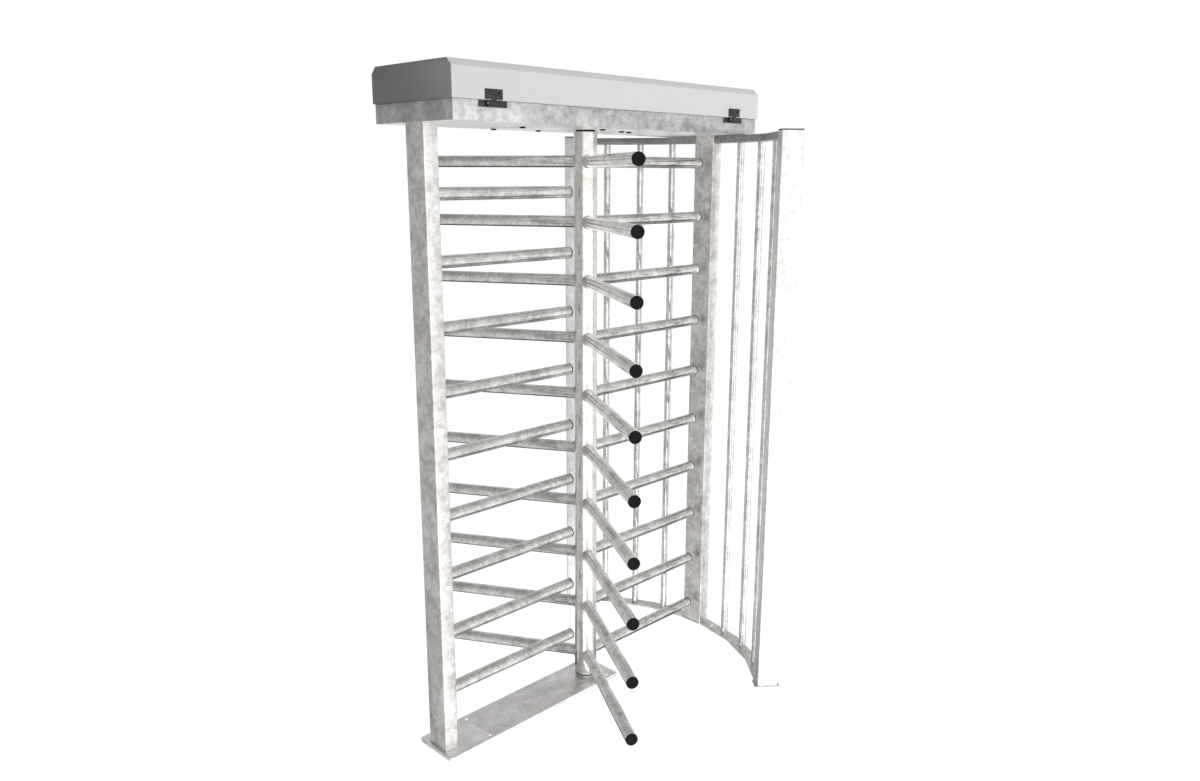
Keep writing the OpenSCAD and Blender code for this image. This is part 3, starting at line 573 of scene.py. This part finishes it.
# %% The end of every tree
def finish_tree(bench, gives, geometry, take, turn=None, smooth=True):
    """Makes the geometry real, turns it about the rotor's axis and finishes it."""
    whole = bench.put("GeometryNodeRealizeInstances", {0: geometry})
    if turn is not None:
        whole = bench.put("GeometryNodeTransform", {
            "Geometry": whole, "Rotation": bench.vector(z=turn)})
    if smooth:
        whole = bench.put("GeometryNodeSetShadeSmooth", {"Geometry": whole})
    bench.feed(gives, "Geometry", bench.put("GeometryNodeSetMaterial", {
        "Geometry": whole, "Material": take["Finish"]}))
    print("tree:", bench.tree.name, len(bench.tree.nodes), "nodes")

# %% Tree: a ladder of tubes
def ring(bench, radius, sides):
    return bench.put("GeometryNodeCurvePrimitiveCircle", {"Radius": radius,
                                                          "Resolution": sides})


def tube_wall(bench, radius, start, end):
    line = bench.put("GeometryNodeCurvePrimitiveLine", {
        "Start": bench.vector(x=start), "End": bench.vector(x=end)})
    return bench.put("GeometryNodeCurveToMesh", {
        "Curve": line, "Profile Curve": ring(bench, radius, 40)})


def rungs(bench, take, part):
    """The part on each of Count points, one Pitch above the other."""
    line = bench.put("GeometryNodeMeshLine", {
        "Count": take["Count"], "Start Location": bench.vector(z=take["First Height"]),
        "Offset": bench.vector(z=take["Pitch"])})
    return bench.put("GeometryNodeInstanceOnPoints", {"Points": line, "Instance": part})

tube_ladder, b, take, gives = new_tree(
    "GeometryNodeTree", "tube ladder",
    {"Count": (INT, 10), "First Height": (FLOAT, 0.1), "Pitch": (FLOAT, 0.2),
     "Start": (FLOAT, 0.03), "End": (FLOAT, 0.6), "Radius": (FLOAT, 0.02),
     "Wall": (FLOAT, 0.002), "Turn": (FLOAT, 0.0), "Finish": (MATERIAL, None)},
    {"Geometry": GEOMETRY})
bore = b.sum("SUBTRACT", take["Radius"], take["Wall"])
outside = tube_wall(b, take["Radius"], take["Start"], take["End"])
inside = b.put("GeometryNodeFlipFaces", {
    "Mesh": tube_wall(b, bore, take["Start"], take["End"])})
tube = b.put("GeometryNodeJoinGeometry")
b.feed(tube, 0, outside)
b.feed(tube, 0, inside)
finish_tree(b, gives, rungs(b, take, tube), take, turn=take["Turn"])

# %% Run a tree and keep its mesh
def grow(tree, name, body, slot, replaced=(), base=None, finish=None, **values):
    piece = add_piece(name, base or bpy.data.meshes.new(name))
    modifier = piece.modifiers.new("grown", "NODES")
    modifier.node_group = tree
    values["Finish"] = finishes[finish or slot]
    for item in tree.interface.items_tree:
        key = item.name.replace(" ", "_")
        if item.in_out == "INPUT" and key in values:
            modifier[item.identifier] = values[key]
    piece.update_tag()
    apply_modifiers(piece)
    seat(piece, body, slot, *replaced, finish=finish)
    print(name, len(piece.data.polygons), "faces")
    return piece

# %% Grow the three wings and the comb
arm_pitch, first_arm, wing_radius, cap_flange = 0.200, 0.102, 0.602, 0.003
arm_radius, arm_wall, column_radius, arm_count = 0.020, 0.002, 0.040, 10
wings = {"wing_cage_arms": 0, "wing_back_arms": 120, "wing_front_arms": 240}
wing_rungs = {"Count": arm_count, "First_Height": first_arm, "Pitch": arm_pitch}
comb_rungs = {"Count": arm_count - 1, "First_Height": first_arm + arm_pitch / 2,
              "Pitch": arm_pitch}
for node, degrees in wings.items():
    grow(tube_ladder, node + "_finished", "rotor", "galvanised_steel", [node],
         finish="galvanised_tube", Start=column_radius - 0.006,
         End=wing_radius - cap_flange, Radius=arm_radius, Wall=arm_wall,
         Turn=math.radians(degrees), **wing_rungs)
comb_low, comb_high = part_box("comb_bars")
grow(tube_ladder, "comb_bars_finished", "frame", "galvanised_steel", ["comb_bars"],
     finish="galvanised_tube", Start=comb_low.x, End=comb_high.x, Radius=arm_radius,
     Wall=arm_wall, Turn=0.0, **comb_rungs)

# %% [markdown]
# ## The cage bars
# Six round bars stand between the floor plate and the top rail, at equal
# angles round the rotor. The same idea serves, but the points lie on an
# arc: each point's place is worked out from its number, and every bar is
# an upright tube. The bars of the far side are the same with the angle
# the other way.

# %% Tree: bars on an arc
arc_bars, b, take, gives = new_tree(
    "GeometryNodeTree", "bars on an arc",
    {"Count": (INT, 3), "Arc Radius": (FLOAT, 0.66), "First Angle": (FLOAT, 0.25),
     "Step": (FLOAT, 0.2), "Radius": (FLOAT, 0.0134), "Bottom": (FLOAT, 0.006),
     "Top": (FLOAT, 1.976), "Finish": (MATERIAL, None)},
    {"Geometry": GEOMETRY})
line = b.put("GeometryNodeCurvePrimitiveLine", {
    "Start": b.vector(z=take["Bottom"]), "End": b.vector(z=take["Top"])})
bar = b.put("GeometryNodeCurveToMesh", {
    "Curve": line, "Profile Curve": ring(b, take["Radius"], 36), "Fill Caps": True})
number = b.put("GeometryNodeInputIndex").outputs[0]
angle = b.sum("MULTIPLY_ADD", number, take["Step"], take["First Angle"])
place = b.vector(x=b.sum("MULTIPLY", b.sum("COSINE", angle), take["Arc Radius"]),
                 y=b.sum("MULTIPLY", b.sum("SINE", angle), take["Arc Radius"]))
points = b.put("GeometryNodePoints", {"Count": take["Count"], "Position": place})
finish_tree(b, gives, b.put("GeometryNodeInstanceOnPoints", {
    "Points": points, "Instance": bar}), take)

# %% Grow the bars on both sides
bars_low, bars_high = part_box("cage_bars")
for side, name in ((1, "cage_bars_back"), (-1, "cage_bars_front")):
    grow(arc_bars, name, "frame", "galvanised_steel", ["cage_bars"],
         finish="galvanised_tube", Count=3,
         Arc_Radius=0.661, First_Angle=side * math.radians(14.6),
         Step=side * math.radians(11.75), Radius=0.01345, Bottom=bars_low.z,
         Top=bars_high.z)

# %% [markdown]
# ## Round pieces
# The column, its seals and the bearings are turned on a lathe. The mesh of
# the column and the bearings is turned too: a profile of radius and height
# goes round the axis. The profile is listed from the bottom up the outside
# and back down the inside, so the surface closes on itself. The seals and
# the other round pieces are copies of their nodes with rounded edges.

# %% Turn a profile round an axis
def lathe(name, profile, segments=64, centre=(0, 0, 0), axis="Z"):
    work = bmesh.new()
    turns = {"Z": Matrix.Identity(3), "X": Matrix.Rotation(math.pi / 2, 3, "Y"),
             "Y": Matrix.Rotation(-math.pi / 2, 3, "X")}
    rings = []
    for radius, height in profile:
        if radius < 1e-7:
            rings.append([work.verts.new(Vector((0, 0, height)))])
            continue
        rings.append([work.verts.new(Vector((
            radius * math.cos(2 * math.pi * k / segments),
            radius * math.sin(2 * math.pi * k / segments), height)))
            for k in range(segments)])
    closed = len(rings[0]) > 1 and len(rings[-1]) > 1
    pairs = list(zip(rings, rings[1:])) + ([(rings[-1], rings[0])] if closed else [])
    for low, high in pairs:
        for k in range(segments):
            n = (k + 1) % segments
            if len(low) == 1 and len(high) == 1:
                continue
            if len(low) == 1:
                work.faces.new((low[0], high[n], high[k]))
            elif len(high) == 1:
                work.faces.new((low[k], low[n], high[0]))
            else:
                work.faces.new((low[k], low[n], high[n], high[k]))
    bmesh.ops.recalc_face_normals(work, faces=work.faces)
    bmesh.ops.transform(work, matrix=Matrix.Translation(centre)
                        @ turns[axis].to_4x4(), verts=work.verts)
    return as_mesh(work, name)


def turned_piece(name, profile, body, slot, replaced, finish=None, **place):
    piece = add_piece(name, lathe(name, profile, **place))
    smooth_faces(piece)
    return seat(piece, body, slot, *replaced, finish=finish)

# %% Turn the column and the bearings, and dress the other round pieces
low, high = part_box("rotor_column")
outer, inner, chamfer = high.x, high.x - 0.003, 0.0008
turned_piece("rotor_column_finished", [
    (outer - chamfer, low.z), (outer, low.z + chamfer), (outer, high.z - chamfer),
    (outer - chamfer, high.z), (inner, high.z), (inner, low.z)],
    "rotor", "galvanised_steel", ["rotor_column"], finish="galvanised_column",
    segments=96)


def bearing(name, node, body, bore, outside):
    """A sealed ball bearing: two ground rings with a shield set in between them."""
    low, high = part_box(node)
    ring = (outside - bore) * 0.27
    z0, z1, dip = low.z, high.z, 0.0007
    profile = [(bore, z0), (bore + ring, z0), (bore + ring, z0 + dip),
               (outside - ring, z0 + dip), (outside - ring, z0), (outside, z0),
               (outside, z1), (outside - ring, z1), (outside - ring, z1 - dip),
               (bore + ring, z1 - dip), (bore + ring, z1), (bore, z1)]
    return turned_piece(name, profile, body, "machined_steel", [node])

bearing("head_bearing_finished", "head_bearing", "frame", 0.02005, 0.040)
bearing("foot_bearing_finished", "foot_bearing", "rotor", 0.01255, 0.026)
for node, body in (("bearing_housing", "frame"), ("foot_pivot", "frame"),
                   ("foot_hub", "rotor"), ("drive_shaft", "rotor"),
                   ("shaft_nut", "rotor"), ("column_seals", "frame"),
                   ("follower_roller", "follower_roller"),
                   ("damper_body", "frame"), ("lid_buffers", "frame")):
    dress(node, body, 0.0007)
print("round pieces done")

# %% [markdown]
# ## Weld beads
# Every arm is welded to the column, and every comb bar to its post, with a
# bead that runs round the joint. Where a tube meets a column, the joint is
# a saddle: going round the tube, the depth follows the column's own curve.
# The tree bends a circle into that saddle, swells and narrows the bead as
# a welder's hand does, and sets one out at each arm.

# %% Tree: beads round a ladder of tubes
def bead_along(bench, curve, bead, ripples):
    """A round bead along a curve, with a number of ripples from end to end."""
    share = bench.put("GeometryNodeSplineParameter").outputs["Factor"]
    wave = bench.sum("SINE", bench.sum("MULTIPLY", share, 2 * math.pi * ripples))
    swollen = bench.put("GeometryNodeSetCurveRadius", {
        "Curve": curve, "Radius": bench.sum("MULTIPLY_ADD", wave, 0.16, 1.0)})
    return bench.put("GeometryNodeCurveToMesh", {
        "Curve": swollen, "Profile Curve": ring(bench, bead, 8),
        "Scale": bench.put("GeometryNodeInputRadius")})

weld_beads, b, take, gives = new_tree(
    "GeometryNodeTree", "weld beads",
    {"Count": (INT, 10), "First Height": (FLOAT, 0.1), "Pitch": (FLOAT, 0.2),
     "Tube Radius": (FLOAT, 0.02), "Column Radius": (FLOAT, 0.04),
     "Face": (FLOAT, 0.0), "Bead": (FLOAT, 0.0026), "Turn": (FLOAT, 0.0),
     "Finish": (MATERIAL, None)}, {"Geometry": GEOMETRY})
circle = ring(b, b.sum("MULTIPLY_ADD", take["Bead"], 0.35, take["Tube Radius"]), 72)
flat = b.split(b.put("GeometryNodeInputPosition"))
column = b.sum("POWER", take["Column Radius"], 2.0)
left = b.sum("SUBTRACT", column, b.sum("MULTIPLY", flat[0], flat[0]))
depth = b.sum("ADD", b.sum("SQRT", b.sum("MAXIMUM", left, 0.0)), take["Face"])
saddle = b.put("GeometryNodeSetPosition", {
    "Geometry": circle, "Position": b.vector(depth, flat[0], flat[1])})
bead = bead_along(b, saddle, take["Bead"], 22)
finish_tree(b, gives, rungs(b, take, bead), take, turn=take["Turn"])

# %% Weld the wings to the column and the comb to its post
weld = {"Tube_Radius": arm_radius, "Bead": 0.0024}
for node, degrees in wings.items():
    grow(weld_beads, node + "_welds", "rotor", "galvanised_steel", finish="weld_zinc",
         Column_Radius=column_radius, Face=0.0, Turn=math.radians(degrees), **weld,
         **wing_rungs)
grow(weld_beads, "comb_welds", "frame", "galvanised_steel", finish="weld_zinc",
     Column_Radius=0.0, Face=comb_low.x + 0.0006, Turn=0.0, **weld, **comb_rungs)

# %% [markdown]
# ## Seams round the posts' feet
# A post stands on its plate in a fillet weld that runs round its four
# sides. The seam is a rounded rectangle, cut into short even steps so that
# the ripples keep their length on long and short sides alike.

# %% Tree: a seam round a rectangular foot
foot_seam, b, take, gives = new_tree(
    "GeometryNodeTree", "seam round a foot",
    {"Width": (FLOAT, 0.05), "Depth": (FLOAT, 0.09), "Corner": (FLOAT, 0.0045),
     "Centre": (VECTOR, None), "Bead": (FLOAT, 0.003), "Turn": (FLOAT, 0.0),
     "Finish": (MATERIAL, None)}, {"Geometry": GEOMETRY})
outline = b.put("GeometryNodeCurvePrimitiveQuadrilateral", {
    "Width": take["Width"], "Height": take["Depth"]})
rounded = b.put("GeometryNodeFilletCurve", {
    "Curve": outline, "Radius": take["Corner"], "Count": 4}, mode="POLY")
even = b.put("GeometryNodeResampleCurve", {"Curve": rounded, "Length": 0.0016},
             mode="LENGTH")
finish_tree(b, gives, b.put("GeometryNodeTransform", {
    "Geometry": bead_along(b, even, take["Bead"], 46),
    "Translation": take["Centre"]}), take, turn=take["Turn"])

# %% Weld the four posts to their plates
def post_seam(name, x, y, width, depth, height, turn=0.0):
    grow(foot_seam, name, "frame", "galvanised_steel", finish="weld_zinc",
         Width=width, Depth=depth, Corner=0.0045, Centre=(x, y, height),
         Bead=0.0026, Turn=turn)

for node in ("comb_post", "middle_post"):
    low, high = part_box(node)
    post_seam(node + "_seam", (low.x + high.x) / 2, 0, 0.050, 0.090, low.z)
for side, name in ((1, "end_post_seam_back"), (-1, "end_post_seam_front")):
    post_seam(name, cage_flat + end_deep / 2, side * (end_start + end_wide / 2),
              end_deep, end_wide, 0.006, side * end_turn)

# %% [markdown]
# ## Copies of one small part
# Plastic caps close the tubes, rubber grommets close the cable holes and
# hexagon bolts hold the head. Each is made once, and a short tree puts a
# copy on every point of a point mesh, turned as asked, then makes them
# real, so that each set of copies becomes one plain mesh on its body.

# %% Tree: copies on points
copies_on_points, b, take, gives = new_tree(
    "GeometryNodeTree", "copies on points",
    {"Geometry": (GEOMETRY, None), "Part": (OBJECT, None), "Tip": (VECTOR, None),
     "Finish": (MATERIAL, None)}, {"Geometry": GEOMETRY})
part = b.put("GeometryNodeObjectInfo", {"Object": take["Part"]})
finish_tree(b, gives, b.put("GeometryNodeInstanceOnPoints", {
    "Points": take["Geometry"], "Instance": part.outputs["Geometry"],
    "Rotation": take["Tip"]}), take, smooth=False)


def copy_part(name, part, points, body, slot, replaced, tip=(0, 0, 0)):
    base = bpy.data.meshes.new(name)
    base.from_pydata([tuple(p) for p in points], [], [])
    grow(copies_on_points, name, body, slot, [replaced], base=base, Part=part, Tip=tip)


def spare_part(mesh):
    """A part to copy from. It is taken out of the scene at the end."""
    part = add_piece(mesh.name, mesh)
    smooth_faces(part)
    return part

# %% Cap every arm and every comb bar
cap = spare_part(lathe("spare_cap", [
    (0, 0.0026), (0.0060, 0.0026), (0.0068, 0.0030), (0.0150, 0.0030),
    (0.0190, 0.0029), (0.0197, 0.0025), (0.0201, 0.0019), (0.0201, -0.0022),
    (0.0190, -0.0022), (0.0177, -0.0030), (0.0177, -0.012), (0.0165, -0.015),
    (0, -0.015)], segments=40))
heights = [first_arm + arm_pitch * k for k in range(arm_count)]
tube_end = wing_radius - cap_flange
for node, degrees in wings.items():
    a = math.radians(degrees)
    points = [(tube_end * math.cos(a), tube_end * math.sin(a), z) for z in heights]
    copy_part(node + "_caps", cap, points, "rotor", "black_plastic", "arm_caps",
              tip=(0, math.pi / 2, a))
tip_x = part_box("comb_caps")[1].x - cap_flange
copy_part("comb_caps_finished", cap,
          [(tip_x, 0, z + arm_pitch / 2) for z in heights[:-1]], "frame",
          "black_plastic", "comb_caps", tip=(0, math.pi / 2, 0))

# %% [markdown]
# The head's cable holes wait for cables, so their grommets still have the
# domed membrane that a fitter pierces. It shows as a solid black button.

# %% Close the cable holes with grommets
head_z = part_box("head_trough")[0].z
grommet = spare_part(lathe("spare_grommet", [
    (0, -0.0046), (0.0042, -0.0044), (0.0070, -0.0038), (0.0089, -0.0026),
    (0.0098, -0.0012), (0.0098, -0.0001), (0.0067, -0.0001), (0.0067, 0.0031),
    (0.0088, 0.0031), (0.0090, 0.0040), (0.0070, 0.0044), (0.0048, 0.0040),
    (0.0040, 0.0010), (0, 0.0010)], segments=32))
holes = [(-271, 150), (-291, -18), (-95, 130), (-15, -95), (137, -36), (187, -22)]
copy_part("cable_grommets_finished", grommet,
          [(x / 1000, y / 1000, head_z) for x, y in holes], "frame", "black_rubber",
          "cable_grommets")

# %% Shape a hexagon bolt with a washer
def hexagon_bolt(name, thread, head, shank):
    """A bolt that stands on z = 0, its shank below."""
    work = bmesh.new()
    corner, washer_top = 0.875 * thread, thread * 0.16
    rings = [(corner * 0.93, head), (corner, head * 0.86), (corner, washer_top)]
    loops = [[work.verts.new((r * math.cos(math.pi / 3 * k),
                              r * math.sin(math.pi / 3 * k), z)) for k in range(6)]
             for r, z in rings]
    work.faces.new(loops[0])
    for a, c in zip(loops, loops[1:]):
        for k in range(6):
            work.faces.new((a[k], c[k], c[(k + 1) % 6], a[(k + 1) % 6]))
    work.faces.new(loops[-1][::-1])
    work.from_mesh(lathe(name + "_washer", [
        (0, washer_top), (corner * 1.06, washer_top), (corner * 1.10, 0.0002),
        (corner * 1.10, 0.0), (thread / 2, 0.0), (thread / 2, -shank), (0, -shank)],
        segments=28))
    return as_mesh(work, name)

# %% Bolt the head to its posts and the bearing housing to the head
trough_floor, flange_top, bolt_circle = head_z + 0.003, head_z + 0.013, 0.058
post_bolts = [(x, s * 0.028, trough_floor) for x in (-0.656, 0.655) for s in (-1, 1)]
copy_part("head_bolts_finished",
          spare_part(hexagon_bolt("spare_post_bolt", 0.010, 0.007, 0.011)),
          post_bolts, "frame", "zinc_fasteners", "head_bolts")
bolt_ring = [(bolt_circle * math.cos(math.radians(a)),
              bolt_circle * math.sin(math.radians(a)), flange_top)
             for a in (45, 135, 225, 315)]
copy_part("housing_bolts_finished",
          spare_part(hexagon_bolt("spare_flange_bolt", 0.008, 0.0055, 0.013)),
          bolt_ring, "frame", "zinc_fasteners", "housing_bolts")

# %% [markdown]
# ## Springs
# A coil spring is a wire wound at a constant pitch, with its last turns
# closed up so that it sits flat. Geometry Nodes has a spiral that gives the
# wound part, and the wire's thickness comes from sweeping a small circle
# along it.

# %% Tree: a coil spring
coil_spring, b, take, gives = new_tree(
    "GeometryNodeTree", "coil spring",
    {"Turns": (FLOAT, 9.0), "Coil Radius": (FLOAT, 0.007), "Wire": (FLOAT, 0.001),
     "Length": (FLOAT, 0.05), "Start": (VECTOR, None), "Tip": (VECTOR, None),
     "Finish": (MATERIAL, None)}, {"Geometry": GEOMETRY})
coil = b.put("GeometryNodeCurveSpiral", {
    "Resolution": 28, "Rotations": take["Turns"], "Start Radius": take["Coil Radius"],
    "End Radius": take["Coil Radius"],
    "Height": b.sum("SUBTRACT", take["Length"], b.sum("MULTIPLY", take["Wire"], 2.0))})
wire = b.put("GeometryNodeCurveToMesh", {
    "Curve": coil, "Fill Caps": True, "Profile Curve": ring(b, take["Wire"], 10)})
lifted = b.put("GeometryNodeTransform", {
    "Geometry": wire, "Translation": b.vector(z=take["Wire"])})
finish_tree(b, gives, b.put("GeometryNodeTransform", {
    "Geometry": lifted, "Rotation": take["Tip"], "Translation": take["Start"]}), take)

# %% Wind the follower's spring
low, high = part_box("follower_spring")
grow(coil_spring, "follower_spring_finished", "frame", "machined_steel",
     ["follower_spring"], Turns=8.5, Coil_Radius=0.0070, Wire=0.0010,
     Length=high.x - low.x,
     Start=(low.x, (low.y + high.y) / 2, (low.z + high.z) / 2),
     Tip=(0, math.pi / 2, 0))

# %% [markdown]
# ## Hinges, locks and the gear in the head
# These pieces are cut from plate or cast, and the frame holds their exact
# shape, because they have to run in each other. They take the small edge
# radius that a tumbled or deburred part has, and nothing else changes.

# %% Dress the small pieces, body by body
small = {
    "frame": {"hinge_plates": 0.0012, "hinge_pins": 0.0006, "solenoids": 0.0012,
              "control_box": 0.0008, "control_box_cover": 0.0014,
              "power_supply": 0.0006, "visitor_counter": 0.0012,
              "pivot_studs": 0.0005, "mechanism_spacers": 0.0005,
              "bridge_pillars": 0.0005, "follower_arm": 0.0005},
    "head_lid": {"hinge_leaves": 0.0012, "hinge_leaf_screws": 0.0003},
    "lock_left": {"lock_left": 0.0003},
    "lock_right": {"lock_right": 0.0003},
    "pawl_entry": {"pawl_entry": 0.0005},
    "pawl_exit": {"pawl_exit": 0.0005},
    "plunger_entry": {"plunger_entry": 0.0003},
    "plunger_exit": {"plunger_exit": 0.0003},
    "rotor": {"lock_disc": 0.0005, "main_gear": 0.0003},
    "counter_pinion": {"counter_pinion": 0.0002},
    "damper_pinion": {"damper_pinion": 0.0002},
}
for body, parts in small.items():
    for node, radius in parts.items():
        dress(node, body, radius, finish=own_finish.get(node))
    print(body, "pieces dressed:", len(parts))

# %% Put a bright rose round each lock
lid_back, lock_height = 0.1950, 2.100
for name, x in (("left", -0.3975), ("right", 0.4025)):
    turned_piece("lock_rose_" + name, [
        (0.0064, 0.0), (0.0064, 0.0022), (0.0072, 0.0029), (0.0118, 0.0029),
        (0.0131, 0.0018), (0.0131, 0.0)], "head_lid", "zinc_fasteners", (),
        segments=48, centre=(x, lid_back, lock_height), axis="Y")

# %% [markdown]
# ## The visitor counter's face
# The counter adds one for each third of a turn. Its window shows a row of
# number wheels: black drums with white figures. The figures are text that
# is turned into a mesh, laid on the drums and joined into one piece.

# %% Make the number wheels and their figures
counter_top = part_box("visitor_counter")[1].z
window_x, first_wheel, wheel_pitch = 0.077, -0.019, 0.0076
work = bmesh.new()
for k in range(5):
    drum = lathe("drum", [(0, 0.0003), (0.0058, 0.0003), (0.0062, 0.0008),
                          (0.0062, 0.0068), (0.0058, 0.0073), (0, 0.0073)],
                 segments=30, axis="Y",
                 centre=(window_x, first_wheel + wheel_pitch * k, counter_top - 0.0072))
    work.from_mesh(drum)
wheels = add_piece("number_wheels", as_mesh(work, "number_wheels"))
smooth_faces(wheels)
seat(wheels, "frame", "counter_plastic", finish="black_plastic")
work = bmesh.new()
for k, figure in enumerate("00482"):
    words = bpy.data.curves.new("figure", "FONT")
    words.body, words.size, words.extrude = figure, 0.0082, 0.00015
    words.align_x, words.align_y = "CENTER", "CENTER"
    holder = add_piece("figure", words)
    bpy.context.view_layer.update()
    shape = bpy.data.meshes.new_from_object(holder.evaluated_get(
        bpy.context.evaluated_depsgraph_get()))
    middle = first_wheel + wheel_pitch * (k + 0.5)
    shape.transform(Matrix.Translation((window_x, middle, counter_top - 0.00085))
                    @ Matrix.Rotation(math.pi / 2, 4, "Z"))
    work.from_mesh(shape)
    bpy.data.objects.remove(holder)
seat(add_piece("counter_figures", as_mesh(work, "counter_figures")), "frame",
     "counter_plastic", finish="white_ink")
print("counter shows its figures")

# %% Put the spare parts away
for name in [o.name for o in scene.objects if o.name.startswith("spare_")]:
    bpy.data.objects.remove(bpy.data.objects[name])

# %% [markdown]
# ## Floor and light
# The turnstile stands on a plain white studio floor. The light is broad,
# soft and nearly level, from the front, as a wall of softboxes gives: fronts
# are bright, the faces that look to the left stay in soft shade, and the
# underside of the head is lit by the floor. The floor and the sky show the
# camera a clean white, and send a calmer light to the metal. Mirrored rays
# pass through the floor, so that one glow, set by direction, is all that the
# zinc reflects.

# %% Group: how bright the studio is in a direction
studio_glow, b, take, gives = new_tree(
    "ShaderNodeTree", "studio glow", {"Direction": (VECTOR, None)}, {"Strength": FLOAT})
wall_of_light, dark_corner = (-0.326, -0.946, 0.0), (0.78, 0.62, 0.0)
heading = b.split(take["Direction"])
level = b.put("ShaderNodeVectorMath", {0: b.vector(heading[0], heading[1])},
              operation="NORMALIZE").outputs[0]
towards_wall, towards_corner = (
    b.put("ShaderNodeVectorMath", {0: level, 1: way}, operation="DOT_PRODUCT")
    .outputs["Value"] for way in (wall_of_light, dark_corner))
wall = b.ramp(towards_wall, 0.62, 0.68)
room = b.ramp(b.split(level)[0], -0.2, 0.6, 0.62, 0.95)
high = b.ramp(heading[2], -0.45, 0.75, 1.22, 0.60)
lit = b.sum("MULTIPLY", b.blend(wall, room, 1.65, "FLOAT"), high)
low = b.sum("MULTIPLY", b.ramp(heading[2], -0.42, -0.47),
            b.ramp(towards_corner, 0.1, 0.3))
b.feed(gives, "Strength", b.sum("MULTIPLY", lit, b.ramp(low, 0, 1, 1.0, 0.03)))

# %% Lay the floor
white = (1, 1, 1)
work = bmesh.new()
bmesh.ops.create_grid(work, x_segments=1, y_segments=1, size=40)
floor = add_piece("studio_floor", as_mesh(work, "studio_floor"))
material = bpy.data.materials.new("studio floor")
material.use_nodes = True
b = Bench(material.node_tree)
material.node_tree.nodes.remove(material.node_tree.nodes["Principled BSDF"])
spot = b.split(b.put("ShaderNodeTexCoord").outputs["Object"])
across = b.sum("MULTIPLY_ADD", spot[0], 0.8, b.sum("MULTIPLY", spot[1], 0.6))
soft = b.put("ShaderNodeEmission", {
    "Color": (1, 0.99, 0.975), "Strength": b.ramp(across, -1.0, -0.2, 0.15, 0.86)})
seen = b.put("ShaderNodeEmission", {"Color": white, "Strength": 1.0})
path = b.put("ShaderNodeLightPath").outputs
glow = b.put("ShaderNodeMixShader", {0: path["Is Camera Ray"], 1: soft, 2: seen})
matt = b.put("ShaderNodeBsdfDiffuse", {"Color": (0.12, 0.12, 0.12)})
both = b.put("ShaderNodeAddShader", {0: glow, 1: matt})
b.feed(material.node_tree.nodes["Material Output"], "Surface", both)
floor.data.materials.append(material)
floor.visible_glossy = False
print("floor laid")

# %% Hang the front light
light = bpy.data.lights.new("front_softbox", "SUN")
light.energy, light.angle = 4.0, math.radians(16)
front = bpy.data.objects.new("front_softbox", light)
front.rotation_euler = Vector((0.02, 1.0, -0.10)).to_track_quat("-Z", "Y").to_euler()
front.visible_glossy = False
scene.collection.objects.link(front)

# %% Light the rest of the studio
world = bpy.data.worlds.new("studio")
world.use_nodes = True
b = Bench(world.node_tree)
aim = b.put("ShaderNodeTexCoord").outputs["Generated"]
mirrored = b.put("ShaderNodeGroup", {0: aim}, node_tree=studio_glow).outputs[0]
soft = b.ramp(b.split(aim)[0], -1.0, 1.0, 0.07, 0.50)
path = b.put("ShaderNodeLightPath").outputs
strength = b.blend(path["Is Glossy Ray"], soft, mirrored, "FLOAT")
lit = b.put("ShaderNodeBackground", {"Color": (1, 0.985, 0.965), "Strength": strength})
seen = b.put("ShaderNodeBackground", {"Color": white, "Strength": 1.0})
mixed = b.put("ShaderNodeMixShader", {0: path["Is Camera Ray"], 1: lit, 2: seen})
b.feed(world.node_tree.nodes["World Output"], "Surface", mixed)
scene.world = world
scene.view_settings.view_transform = "Standard"

# %% [markdown]
# ## End of the build

print("build finished")
